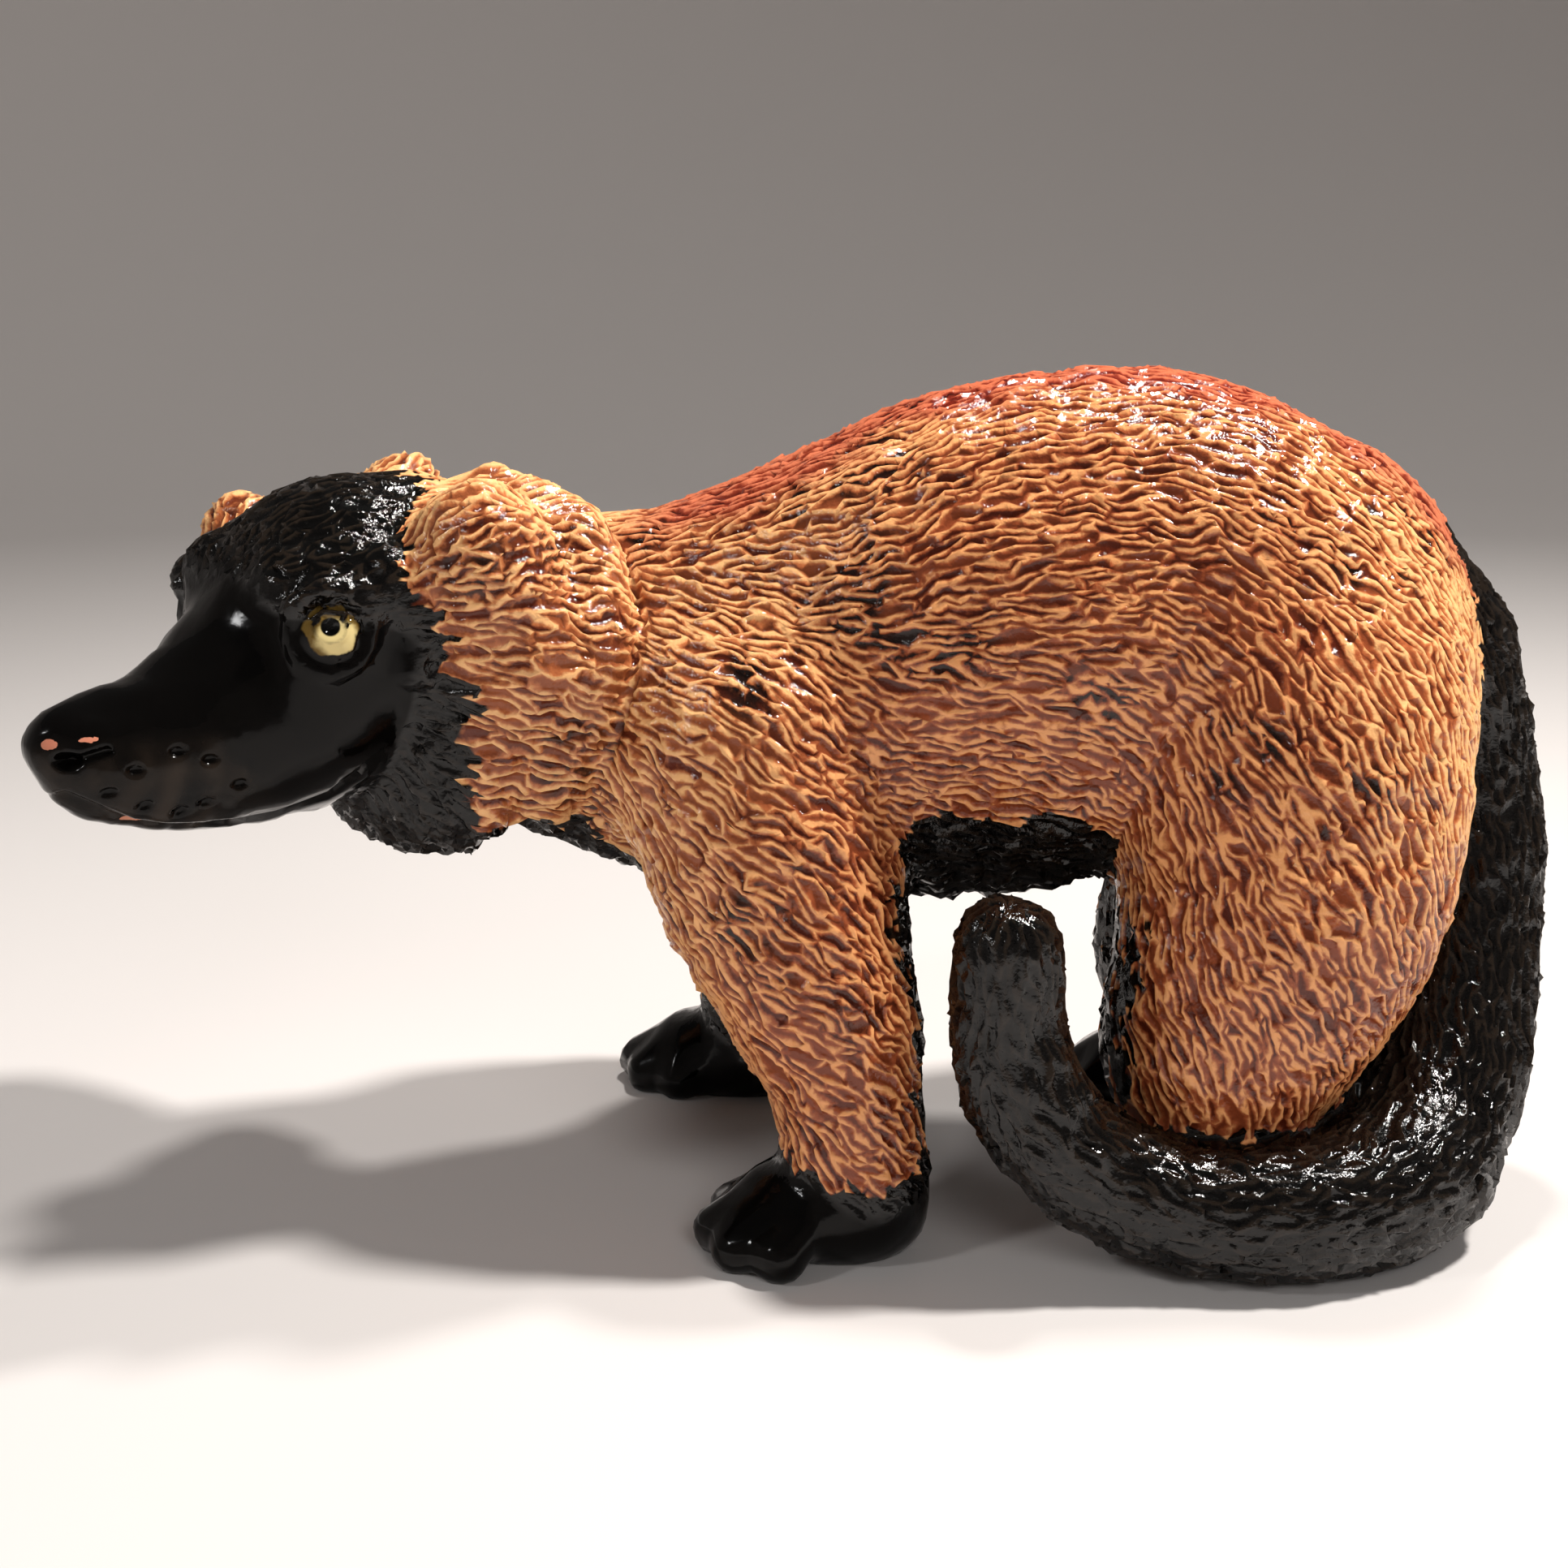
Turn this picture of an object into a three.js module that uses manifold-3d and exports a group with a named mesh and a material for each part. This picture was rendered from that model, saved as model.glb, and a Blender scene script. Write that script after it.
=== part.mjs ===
/*
Ceramic lemur, modelled by hand in one piece of clay and glazed.
Millimetres, +Z up. The nose points to -X and the tail leaves at +X, curls round the -Y side and ends
in a raised tip under the belly. The origin is on the ground, under the middle of the figure's box.

The figure is a soft union of tapered limbs and rounded masses. Its surface is meshed, carved with locks
of fur that follow the body, thinned to a faceted skin and pressed flat on the ground under the paws.
*/

import { BoxGeometry, BufferAttribute, BufferGeometry, Group, Mesh, MeshStandardMaterial } from 'three';
import { mergeVertices } from 'three/addons/utils/BufferGeometryUtils.js';
import Module from 'manifold-3d';

// Overall size. The pose below is written for a figure 178 long and grows and shrinks with this.
const FIGURE_LENGTH = 178;
const POSE_LENGTH = 178;
const FOOTPRINT_CENTRE = [7.14, -1.26];
const POSE_LOW = [-88, -47, -7];
const POSE_HIGH = [102, 45, 108];
const unit = FIGURE_LENGTH / POSE_LENGTH;

// Carved fur: lock sizes, how near two locks may start, how steep a lock's side is, how much of its depth
// stands out as the ridge round it, and how softly the lay of one limb passes into the next.
const LOCK_LENGTH = 14;
const LOCK_WIDTH = 5;
const LOCK_DEPTH = 1.6;
const CROWN_LOCK_DEPTH = 0.8;
const LOCK_CROWDING = 0.8;
const PIT_EDGE = 0.75;
const RIDGE_SHARE = 0.35;
const LAY_SOFTNESS = 3;

// Face and paws
const EYE_RADIUS = 3.9;
const EYE_OUT = 12.8;
const LID_RADIUS = 4.35;
const LID_THICKNESS = 0.95;
const LID_RISE = 1.5;
const PUPIL_RADIUS = 1.3;
const PUPIL_DEPTH = 0.6;
const MOUTH_WIDTH = 2.1;
const MOUTH_DEPTH = 1.4;
const NOSTRIL_RADIUS = 1.9;
const NOSTRIL_DEPTH = 1.1;
const TOE_RADIUS = 3.2;
const SOLE_PRESS = 0.6;

// Fineness of the skin. Cells this near zero are moved off it, creases narrower than a cell are filled,
// and blocks of cells well clear of the surface aren't looked into.
const MESH_STEP = 1.1;
const LEAST_VALUE = 0.08;
const FILLED = -0.3;
const BLOCK = 4;
const BLOCK_CLEARANCE = 1.6;

// Thinning: facets in all, how much finer the eyes, face and paws stay, what a long edge costs, and how far
// a facet may turn and how thin it may get.
const FACET_COUNT = 9500;
const EYE_IMPORTANCE = 40;
const FACE_IMPORTANCE = 7;
const PAW_IMPORTANCE = 5;
const EDGE_LENGTH_COST = 5e-4;
const LEAST_TURN = 0.25;
const LEAST_SHAPE = 0.06;

// Glaze
const GLAZE = { color: 0xb8662f, roughness: 0.22, metalness: 0 };

// Head frame: f runs forward from between the eyes, s to the figure's right and u up.
const HEAD_TURN = 44 * Math.PI / 180;
const EYE_LINE = [-59.8, -18.0, 74.4];
const FORWARD = [-Math.cos(HEAD_TURN), -Math.sin(HEAD_TURN), 0];
const SIDEWAYS = [-Math.sin(HEAD_TURN), Math.cos(HEAD_TURN), 0];
const UPWARD = [0, 0, 1];
const HEAD_AXES = [FORWARD, SIDEWAYS, UPWARD];
const WORLD_AXES = [[1, 0, 0], [0, 1, 0], [0, 0, 1]];

function inHead(f, s, u) {
  return EYE_LINE.map((value, i) => value + FORWARD[i] * f + SIDEWAYS[i] * s + UPWARD[i] * u);
}

function headPlace(x, y, z) {
  const gap = [x - EYE_LINE[0], y - EYE_LINE[1], z - EYE_LINE[2]];
  return HEAD_AXES.map((axis) => axis[0] * gap[0] + axis[1] * gap[1] + axis[2] * gap[2]);
}

// Pose: each place along a limb is x, y, z and the limb's radius there.
const TORSO = [
  [-22, 0, 63, 19.6], [-6, 0, 62.6, 24.6], [10, 0, 65.2, 27.8],
  [27, 0, 69, 31.2], [43, 0, 71.9, 30], [56, 0, 67.6, 28.9],
];
const TORSO_SQUASH = 0.84;
const NECK = [[-24, -1, 64.5, 17.5], [-40, -5, 69, 15.5]];
const TAIL = [
  [72.4, 1, 78.7, 9], [80.5, 2, 68.6, 9.7], [83.9, 2, 56.5, 10.2], [85.5, 0, 41.6, 10.5],
  [83.6, -6, 27.5, 10.4], [79.6, -16, 14.5, 9.8], [72, -26, 9.1 - SOLE_PRESS, 9.1],
  [60, -32.5, 8.3 - SOLE_PRESS, 8.3], [48, -33, 8, 7.5], [37.6, -33, 12, 7.1],
  [30.5, -33.5, 17.5, 6.9], [25.8, -33.5, 27, 6.4], [25, -33.5, 39.6, 6],
];
const HIND_SQUASH = 0.85;
const HIND_MIDDLE = 14;

// side is -1 for the limbs nearest the tail's curl and 1 for the others; shift moves the foot along X.
function foreleg(side, shift) {
  return [
    [-4 + shift * 0.2, 13 * side, 58, 16.5], [shift * 0.5, 18.5 * side, 42, 14.2],
    [4 + shift * 0.75, 21.5 * side, 31, 11.6], [7.5 + shift, 24 * side, 20, 8.8],
    [8.6 + shift, 25 * side, 8, 8.4],
  ];
}

function hindleg(side, shift) {
  return [
    [60 + shift, 12 * side, 58, 21.5], [60 + shift, 17 * side, 44, 19.6],
    [56.5 + shift, 19.5 * side, 33, 17.3], [52.5 + shift, 21.5 * side, 24, 14.2],
    [51 + shift, 22.5 * side, 17, 10.5], [52.5 + shift, 22.5 * side, 7, 8],
  ];
}

// Head: each place is f, s, u and the radius there, and what comes in pairs is written for s above 0.
const MUZZLE = [[0, 0, -10.4, 13.2], [11, 0, -13.2, 9.9], [20, 0, -13.2, 7.3], [24.6, 0, -11.6, 4.6]];
const BROW = [[1, 8, 5, 3.4], [-6, 14, 4, 3.4]];
const UPPER_LID = [
  [-5.2, 12.2, 2.6, 1.1], [-3.2, 14.6, 4.4, 1.5], [0.6, 14.6, 4.8, 1.5], [3.6, 12.4, 2.8, 1.1],
];
const CHEEK_FOLD = [[-7, 15.5, 6.5, 1.8], [-10, 17, 1, 2.2], [-9, 17, -5, 1.8]];
const COLLAR = [
  [-26, 9, 12.5, 4.2], [-29, 18, 9, 4.8], [-28.5, 24, 2, 5.2],
  [-26.5, 26, -6, 5.4], [-25.5, 24, -14, 5], [-25, 19, -20, 4.6],
];
const GAZE = [0.51, 0.85, 0.15];

// The mouth is a groove, given by f and u, that runs back from under the nose and turns up at its corner.
const MOUTH_LINE = [[26.5, -14.3], [20, -17.8], [12, -19.6], [4, -18.6], [-1.5, -16.2]];
const NOSTRIL = [26.6, 4, -12.4];

// Each paw: where its palm is, the way it points in plan in degrees, and how far its middle toe reaches.
const PAWS = [
  { palm: [4.8, -25], heading: 192, reach: 12.5 },
  { palm: [-8.5, 26.5], heading: 172, reach: 12.5 },
  { palm: [51, -20.5], heading: 183, reach: 11.5 },
  { palm: [54, 22.5], heading: 174, reach: 11.5 },
];
const TOE_SPREAD = [-56, -29, -4, 21, 48];
const TOE_SHARE = [0.66, 0.9, 1, 0.97, 0.84];

// Soft shapes

function size(x, y, z) {
  return Math.sqrt(x * x + y * y + z * z);
}

function softMin(a, b, softness) {
  const mix = Math.min(1, Math.max(0, 0.5 + 0.5 * (b - a) / softness));
  return b + (a - b) * mix - softness * mix * (1 - mix);
}

function smoothStep(low, high, value) {
  const t = Math.min(1, Math.max(0, (value - low) / (high - low)));
  return t * t * (3 - 2 * t);
}

function spline(points, steps) {
  const last = points.length - 1;
  const mirror = (end, inner) => end.map((value, k) => 2 * value - inner[k]);
  const all = [mirror(points[0], points[1]), ...points, mirror(points[last], points[last - 1])];
  const out = [];
  for (let i = 1; i <= last; i++) {
    for (let step = 0; step < steps; step++) {
      const t = step / steps;
      out.push(all[i].map((value, k) => {
        const [before, after, beyond] = [all[i - 1][k], all[i + 1][k], all[i + 2][k]];
        const bend = 2 * before - 5 * value + 4 * after - beyond;
        const twist = 3 * (value - after) + beyond - before;
        return 0.5 * (2 * value + (after - before) * t + bend * t * t + twist * t * t * t);
      }));
    }
  }
  out.push(points[last]);
  return out;
}

class Limb {
  // squash narrows the limb along Y about the line y = middle.
  constructor(points, { steps = 3, squash = 1, middle = 0 } = {}) {
    const path = spline(points, steps);
    this.squash = squash;
    this.middle = middle;
    this.bones = path.slice(1).map((end, i) => {
      const start = path[i];
      const along = [end[0] - start[0], end[1] - start[1], end[2] - start[2]];
      const length = size(...along);
      const grain = along.map((value) => value / length);
      return { start, along, squared: length * length, taper: end[3] - start[3], grain };
    });
    this.centre = [0, 1, 2].map((k) => path.reduce((sum, place) => sum + place[k], 0) / path.length);
    this.reach = Math.max(...path.map((place) => {
      return size(place[0] - this.centre[0], place[1] - this.centre[1], place[2] - this.centre[2]) + place[3];
    }));
    this.nearest = this.bones[0];
  }

  distance(x, y, z) {
    const side = this.middle + (y - this.middle) / this.squash;
    let best = Infinity;
    for (const bone of this.bones) {
      const px = x - bone.start[0];
      const py = side - bone.start[1];
      const pz = z - bone.start[2];
      const dot = px * bone.along[0] + py * bone.along[1] + pz * bone.along[2];
      const t = Math.min(1, Math.max(0, dot / bone.squared));
      const qx = px - t * bone.along[0];
      const qy = py - t * bone.along[1];
      const qz = pz - t * bone.along[2];
      const found = Math.sqrt(qx * qx + qy * qy + qz * qz) - bone.start[3] - t * bone.taper;
      if (found < best) {
        best = found;
        this.nearest = bone;
      }
    }
    return best;
  }
}

class Mass {
  constructor(centre, radii, axes = WORLD_AXES) {
    this.centre = centre;
    this.radii = radii;
    this.axes = axes;
    this.reach = Math.max(...radii);
  }

  distance(x, y, z) {
    let near = 0;
    let slope = 0;
    for (let k = 0; k < 3; k++) {
      const axis = this.axes[k];
      const gap = [x - this.centre[0], y - this.centre[1], z - this.centre[2]];
      const share = (gap[0] * axis[0] + gap[1] * axis[1] + gap[2] * axis[2]) / this.radii[k];
      near += share * share;
      slope += (share / this.radii[k]) ** 2;
    }
    near = Math.sqrt(near);
    return near * (near - 1) / (Math.sqrt(slope) + 1e-9);
  }
}

// A thin ring round an axis, such as an eyelid.
class Ring {
  constructor(centre, axis, radius, thickness) {
    this.centre = centre;
    this.axis = axis;
    this.radius = radius;
    this.thickness = thickness;
    this.reach = radius + thickness;
  }

  distance(x, y, z) {
    const gap = [x - this.centre[0], y - this.centre[1], z - this.centre[2]];
    const height = gap[0] * this.axis[0] + gap[1] * this.axis[1] + gap[2] * this.axis[2];
    const away = Math.sqrt(Math.max(0, gap[0] ** 2 + gap[1] ** 2 + gap[2] ** 2 - height ** 2));
    return Math.sqrt((away - this.radius) ** 2 + height ** 2) - this.thickness;
  }
}

class Blend {
  // Each member is a shape and the softness with which it joins the ones before it.
  constructor(members) {
    this.members = members;
    const shapes = members.map((member) => member[0]);
    this.centre = [0, 1, 2].map((k) => {
      return shapes.reduce((sum, shape) => sum + shape.centre[k], 0) / shapes.length;
    });
    this.reach = Math.max(...shapes.map((shape) => {
      return shape.reach + Math.hypot(...shape.centre.map((value, k) => value - this.centre[k]));
    }));
  }

  distance(x, y, z) {
    let near = Infinity;
    for (const [shape, softness] of this.members) {
      const [cx, cy, cz] = shape.centre;
      const gap = size(x - cx, y - cy, z - cz) - shape.reach;
      if (gap < near + softness) {
        const found = shape.distance(x, y, z);
        near = near === Infinity ? found : softMin(near, found, softness);
      }
    }
    return near;
  }
}

function makePaw({ palm, heading, reach }) {
  const members = [[new Mass([palm[0] + 1.5, palm[1], 4.6], [10.5, 8, 7.4]), 0]];
  const shares = palm[1] < 0 ? TOE_SHARE : [...TOE_SHARE].reverse();
  TOE_SPREAD.forEach((spread, i) => {
    const angle = (heading + spread) * Math.PI / 180;
    const out = [Math.cos(angle) * reach * shares[i], Math.sin(angle) * reach * shares[i]];
    const knuckle = [palm[0] + out[0] * 0.55, palm[1] + out[1] * 0.55, 6, TOE_RADIUS + 0.1];
    const tip = [palm[0] + out[0], palm[1] + out[1], TOE_RADIUS - SOLE_PRESS, TOE_RADIUS];
    members.push([new Limb([knuckle, tip], { steps: 1 }), 1.2]);
  });
  return new Blend(members);
}

// One limb for each side, from places in the head frame.
function headLimbs(places, sides, steps = 3) {
  return sides.map((side) => {
    return new Limb(places.map(([f, s, u, radius]) => [...inHead(f, s * side, u), radius]), { steps });
  });
}

// The figure's parts

const torso = new Limb(TORSO, { squash: TORSO_SQUASH });
const neck = new Limb(NECK, { steps: 1 });
const forelegs = [new Limb(foreleg(-1, 0)), new Limb(foreleg(1, -11))];
const hindlegs = [
  new Limb(hindleg(-1, 0), { squash: HIND_SQUASH, middle: -HIND_MIDDLE }),
  new Limb(hindleg(1, 5), { squash: HIND_SQUASH, middle: HIND_MIDDLE }),
];
const tail = new Limb(TAIL);
const body = new Blend([[torso, 0], [neck, 6], ...[...forelegs, ...hindlegs].map((leg) => [leg, 6])]);

const skull = new Mass(inHead(-11.5, 0, -1.5), [17.5, 16.5, 17], HEAD_AXES);
const [muzzle] = headLimbs(MUZZLE, [1]);
const brows = headLimbs(BROW, [-1, 1], 1);
const face = new Blend([[skull, 0], [muzzle, 7], [brows[0], 4], [brows[1], 4]]);
const collars = headLimbs(COLLAR, [-1, 1]);
const ruff = new Blend([
  [new Mass(inHead(-20.5, 0, -4), [12.5, 29.5, 19.5], HEAD_AXES), 0],
  [new Mass(inHead(-18.5, -2, -16.5), [10.5, 19, 14], HEAD_AXES), 4],
  [collars[0], 2.5], [collars[1], 2.5],
]);
const ears = [
  new Mass(inHead(-17, -19.5, 6.5), [7.5, 8, 9], HEAD_AXES),
  new Mass(inHead(-10.5, 21, 5.3), [6.2, 6.5, 7.2], HEAD_AXES),
];
const eyeRadius = EYE_RADIUS / unit;
const eyeCentres = [-1, 1].map((side) => inHead(-1, EYE_OUT * side, -0.5));
const gazes = [-1, 1].map((side) => {
  return FORWARD.map((value, k) => value * GAZE[0] + SIDEWAYS[k] * GAZE[1] * side + UPWARD[k] * GAZE[2]);
});
const eyes = eyeCentres.map((centre) => new Mass(centre, [eyeRadius, eyeRadius, eyeRadius]));
const lidRings = eyeCentres.map((centre, i) => {
  const ringCentre = centre.map((value, k) => value + gazes[i][k] * LID_RISE / unit);
  return new Ring(ringCentre, gazes[i], LID_RADIUS / unit, LID_THICKNESS / unit);
});
const lids = [...lidRings, ...headLimbs(UPPER_LID, [-1, 1])];
const headShape = new Blend([
  [face, 0], [ruff, 3], [ears[0], 4], [ears[1], 3],
  ...headLimbs(CHEEK_FOLD, [-1, 1]).map((fold) => [fold, 2]),
  ...lids.map((lid) => [lid, 1.2]), ...eyes.map((eye) => [eye, 0.3]),
]);
const paws = PAWS.map(makePaw);
const figure = new Blend([[body, 0], [headShape, 1.2], ...paws.map((paw) => [paw, 2.5]), [tail, 2]]);

// Meshing: one vertex in each cell that the surface crosses, and one quad across each edge it cuts.

const CUBE_EDGES = [];
for (let a = 0; a < 8; a++) {
  for (const bit of [4, 2, 1]) {
    if (!(a & bit)) {
      CUBE_EDGES.push([a, a | bit]);
    }
  }
}

// A cell is plain when its inside corners hang together, its outside corners do too, and no side of the
// cell has two inside corners facing each other across a diagonal.
function isPlainCell(signs) {
  const joined = (wanted) => {
    const group = [];
    for (let c = 0; c < 8; c++) {
      group.push((signs >> c & 1) === wanted ? c : -1);
    }
    for (let pass = 0; pass < 8; pass++) {
      for (const [a, b] of CUBE_EDGES) {
        if (group[a] >= 0 && group[b] >= 0) {
          group[a] = group[b] = Math.min(group[a], group[b]);
        }
      }
    }
    return new Set(group.filter((value) => value >= 0)).size <= 1;
  };
  for (const [u, v, w] of [[1, 2, 4], [1, 4, 2], [2, 4, 1]]) {
    for (const side of [0, w]) {
      const ring = [side, side | u, side | u | v, side | v].map((c) => signs >> c & 1);
      if (ring[0] === ring[2] && ring[1] === ring[3] && ring[0] !== ring[1]) {
        return false;
      }
    }
  }
  return joined(0) && joined(1);
}

const CORNER_COUNT = 8;
const PLAIN_CELL = Array.from({ length: 2 ** CORNER_COUNT }, (_, signs) => isPlainCell(signs));

// Narrow creases are filled by a cell's corner until every cell is crossed by one sheet of surface.
function fillCreases(values, nx, ny, nz, at) {
  const corners = Array.from({ length: 8 }, (_, c) => at(c >> 2 & 1, c >> 1 & 1, c & 1));
  for (let changed = true; changed;) {
    changed = false;
    for (let i = 0; i < nx - 1; i++) {
      for (let j = 0; j < ny - 1; j++) {
        for (let k = 0; k < nz - 1; k++) {
          const here = at(i, j, k);
          let signs = 0;
          let least = -1;
          for (let c = 0; c < 8; c++) {
            const place = here + corners[c];
            if (values[place] < 0) {
              signs |= 1 << c;
            } else if (least < 0 || values[place] < values[least]) {
              least = place;
            }
          }
          if (!PLAIN_CELL[signs]) {
            values[least] = FILLED;
            changed = true;
          }
        }
      }
    }
  }
}

// Blocks of cells that lie well clear of the surface take one value, from their middle.
function sampleShape(shape, low, step, count, at) {
  const values = new Float64Array(count[0] * count[1] * count[2]);
  const reach = BLOCK_CLEARANCE * BLOCK * step;
  const blocks = count.map((n) => Math.ceil(n / BLOCK));
  const valueAt = (i, j, k) => shape.distance(low[0] + i * step, low[1] + j * step, low[2] + k * step);
  for (let block = 0; block < blocks[0] * blocks[1] * blocks[2]; block++) {
    const i0 = BLOCK * Math.floor(block / (blocks[1] * blocks[2]));
    const j0 = BLOCK * (Math.floor(block / blocks[2]) % blocks[1]);
    const k0 = BLOCK * (block % blocks[2]);
    const middle = valueAt(i0 + BLOCK / 2, j0 + BLOCK / 2, k0 + BLOCK / 2);
    const far = Math.abs(middle) > reach;
    for (let i = i0; i < Math.min(i0 + BLOCK, count[0]); i++) {
      for (let j = j0; j < Math.min(j0 + BLOCK, count[1]); j++) {
        for (let k = k0; k < Math.min(k0 + BLOCK, count[2]); k++) {
          const value = far ? middle : valueAt(i, j, k);
          values[at(i, j, k)] = value < 0 ? Math.min(value, -LEAST_VALUE) : Math.max(value, LEAST_VALUE);
        }
      }
    }
  }
  return values;
}

function meshSurface(shape, low, high, step) {
  const count = [0, 1, 2].map((k) => Math.ceil((high[k] - low[k]) / step) + 1);
  const [nx, ny, nz] = count;
  const at = (i, j, k) => (i * ny + j) * nz + k;
  const values = sampleShape(shape, low, step, count, at);
  fillCreases(values, nx, ny, nz, at);
  const corners = Array.from({ length: 8 }, (_, c) => [c >> 2 & 1, c >> 1 & 1, c & 1]);
  const cornerSteps = corners.map(([i, j, k]) => at(i, j, k));
  const vertexOf = new Int32Array(nx * ny * nz).fill(-1);
  const places = [];
  for (let i = 0; i < nx - 1; i++) {
    for (let j = 0; j < ny - 1; j++) {
      for (let k = 0; k < nz - 1; k++) {
        const sum = [0, 0, 0];
        let crossings = 0;
        const here = at(i, j, k);
        for (const [a, b] of CUBE_EDGES) {
          const va = values[here + cornerSteps[a]];
          const vb = values[here + cornerSteps[b]];
          if (va < 0 !== vb < 0) {
            const from = corners[a];
            const to = corners[b];
            const t = va / (va - vb);
            for (let axis = 0; axis < 3; axis++) {
              sum[axis] += from[axis] + t * (to[axis] - from[axis]);
            }
            crossings++;
          }
        }
        if (crossings) {
          vertexOf[here] = places.length / 3;
          const cell = [i, j, k];
          for (let axis = 0; axis < 3; axis++) {
            places.push(low[axis] + step * (cell[axis] + sum[axis] / crossings));
          }
        }
      }
    }
  }
  const triangles = [];
  const strides = [ny * nz, nz, 1];
  for (let i = 1; i < nx - 1; i++) {
    for (let j = 1; j < ny - 1; j++) {
      for (let k = 1; k < nz - 1; k++) {
        const here = at(i, j, k);
        for (let axis = 0; axis < 3; axis++) {
          const inside = values[here] < 0;
          if (inside === values[here + strides[axis]] < 0) {
            continue;
          }
          const u = strides[(axis + 1) % 3];
          const v = strides[(axis + 2) % 3];
          const ring = [here, here - u, here - u - v, here - v].map((cell) => vertexOf[cell]);
          const [a, b, c, d] = inside ? ring : ring.reverse();
          triangles.push(a, b, c, a, c, d);
        }
      }
    }
  }
  return { places: Float64Array.from(places), triangles: Int32Array.from(triangles) };
}

function faceNormal(places, a, b, c) {
  const ux = places[3 * b] - places[3 * a];
  const uy = places[3 * b + 1] - places[3 * a + 1];
  const uz = places[3 * b + 2] - places[3 * a + 2];
  const vx = places[3 * c] - places[3 * a];
  const vy = places[3 * c + 1] - places[3 * a + 1];
  const vz = places[3 * c + 2] - places[3 * a + 2];
  return [uy * vz - uz * vy, uz * vx - ux * vz, ux * vy - uy * vx];
}

function vertexNormals({ places, triangles }) {
  const normals = new Float64Array(places.length);
  for (let t = 0; t < triangles.length; t += 3) {
    const normal = faceNormal(places, triangles[t], triangles[t + 1], triangles[t + 2]);
    for (let corner = 0; corner < 3; corner++) {
      for (let axis = 0; axis < 3; axis++) {
        normals[3 * triangles[t + corner] + axis] += normal[axis];
      }
    }
  }
  for (let v = 0; v < normals.length; v += 3) {
    const length = size(normals[v], normals[v + 1], normals[v + 2]) || 1;
    normals[v] /= length;
    normals[v + 1] /= length;
    normals[v + 2] /= length;
  }
  return normals;
}

// Carving

function randomFrom(seed) {
  let state = seed;
  return () => {
    state = (state + 0x6d2b79f5) | 0;
    let mixed = Math.imul(state ^ (state >>> 15), 1 | state);
    mixed = (mixed + Math.imul(mixed ^ (mixed >>> 7), 61 | mixed)) ^ mixed;
    return ((mixed ^ (mixed >>> 14)) >>> 0) / 4294967296;
  };
}

// The way the fur lies: along each limb, back along the trunk, and outwards and back round the ruff.
const FUR_LIMBS = [torso, neck, ...forelegs, ...hindlegs, tail];
const RUFF_SPREAD = 0.6;
const RUFF_SWEEP = 0.8;
const RUFF_DROP = 4;

function furDirection(x, y, z) {
  const found = FUR_LIMBS.map((limb) => ({ away: limb.distance(x, y, z), grain: limb.nearest.grain }));
  found[1].grain = found[1].grain.map((value) => -value);
  const [, s, above] = headPlace(x, y, z);
  const u = above + RUFF_DROP;
  const spread = Math.hypot(s, u) + 1e-6;
  const radial = SIDEWAYS.map((value, k) => (value * s + UPWARD[k] * u) / spread);
  const ruffGrain = FORWARD.map((value, k) => RUFF_SPREAD * radial[k] - RUFF_SWEEP * value);
  found.push({ away: headShape.distance(x, y, z), grain: ruffGrain });
  const nearest = Math.min(...found.map((item) => item.away));
  const sum = [0, 0, 0];
  for (const { away, grain } of found) {
    const weight = Math.exp((nearest - away) / LAY_SOFTNESS);
    for (let k = 0; k < 3; k++) {
      sum[k] += weight * grain[k];
    }
  }
  const length = Math.hypot(...sum);
  return sum.map((value) => value / length);
}

// The muzzle, cheeks and paws are smooth, and the crown has shallow strokes.
function furDepth(x, y, z) {
  const [f, , u] = headPlace(x, y, z);
  const offFace = Math.min(ruff.distance(x, y, z), body.distance(x, y, z));
  const onFace = smoothStep(1.5, -0.5, face.distance(x, y, z) - offFace);
  const crown = CROWN_LOCK_DEPTH * smoothStep(3, 7, u) * smoothStep(2, -4, f);
  const pawGap = Math.min(...paws.map((paw) => paw.distance(x, y, z)));
  const onPaw = smoothStep(3, 0, pawGap) * smoothStep(16, 9, z);
  const offGround = smoothStep(0.5, 3, z);
  return (LOCK_DEPTH * (1 - onFace) + crown * onFace) * (1 - onPaw) * offGround;
}

function lockDistance(seed, x, y, z) {
  const px = x - seed.x;
  const py = y - seed.y;
  const pz = z - seed.z;
  const along = px * seed.lay[0] + py * seed.lay[1] + pz * seed.lay[2];
  const across = Math.max(0, px * px + py * py + pz * pz - along * along);
  return Math.sqrt((along / LOCK_LENGTH) ** 2 + across / LOCK_WIDTH ** 2);
}

class SeedGrid {
  constructor(cell) {
    this.cell = cell;
    this.cells = new Map();
  }

  key(i, j, k) {
    return (i * 4096 + j) * 4096 + k;
  }

  add(seed) {
    const key = this.key(...[seed.x, seed.y, seed.z].map((value) => Math.floor(value / this.cell)));
    if (!this.cells.has(key)) {
      this.cells.set(key, []);
    }
    this.cells.get(key).push(seed);
  }

  twoNearest(x, y, z) {
    let first = Infinity;
    let second = Infinity;
    const [i, j, k] = [x, y, z].map((value) => Math.floor(value / this.cell));
    for (let a = i - 1; a <= i + 1; a++) {
      for (let b = j - 1; b <= j + 1; b++) {
        for (let c = k - 1; c <= k + 1; c++) {
          for (const seed of this.cells.get(this.key(a, b, c)) ?? []) {
            const away = lockDistance(seed, x, y, z);
            if (away < first) {
              second = first;
              first = away;
            } else if (away < second) {
              second = away;
            }
          }
        }
      }
    }
    return [first, second];
  }
}

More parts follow.
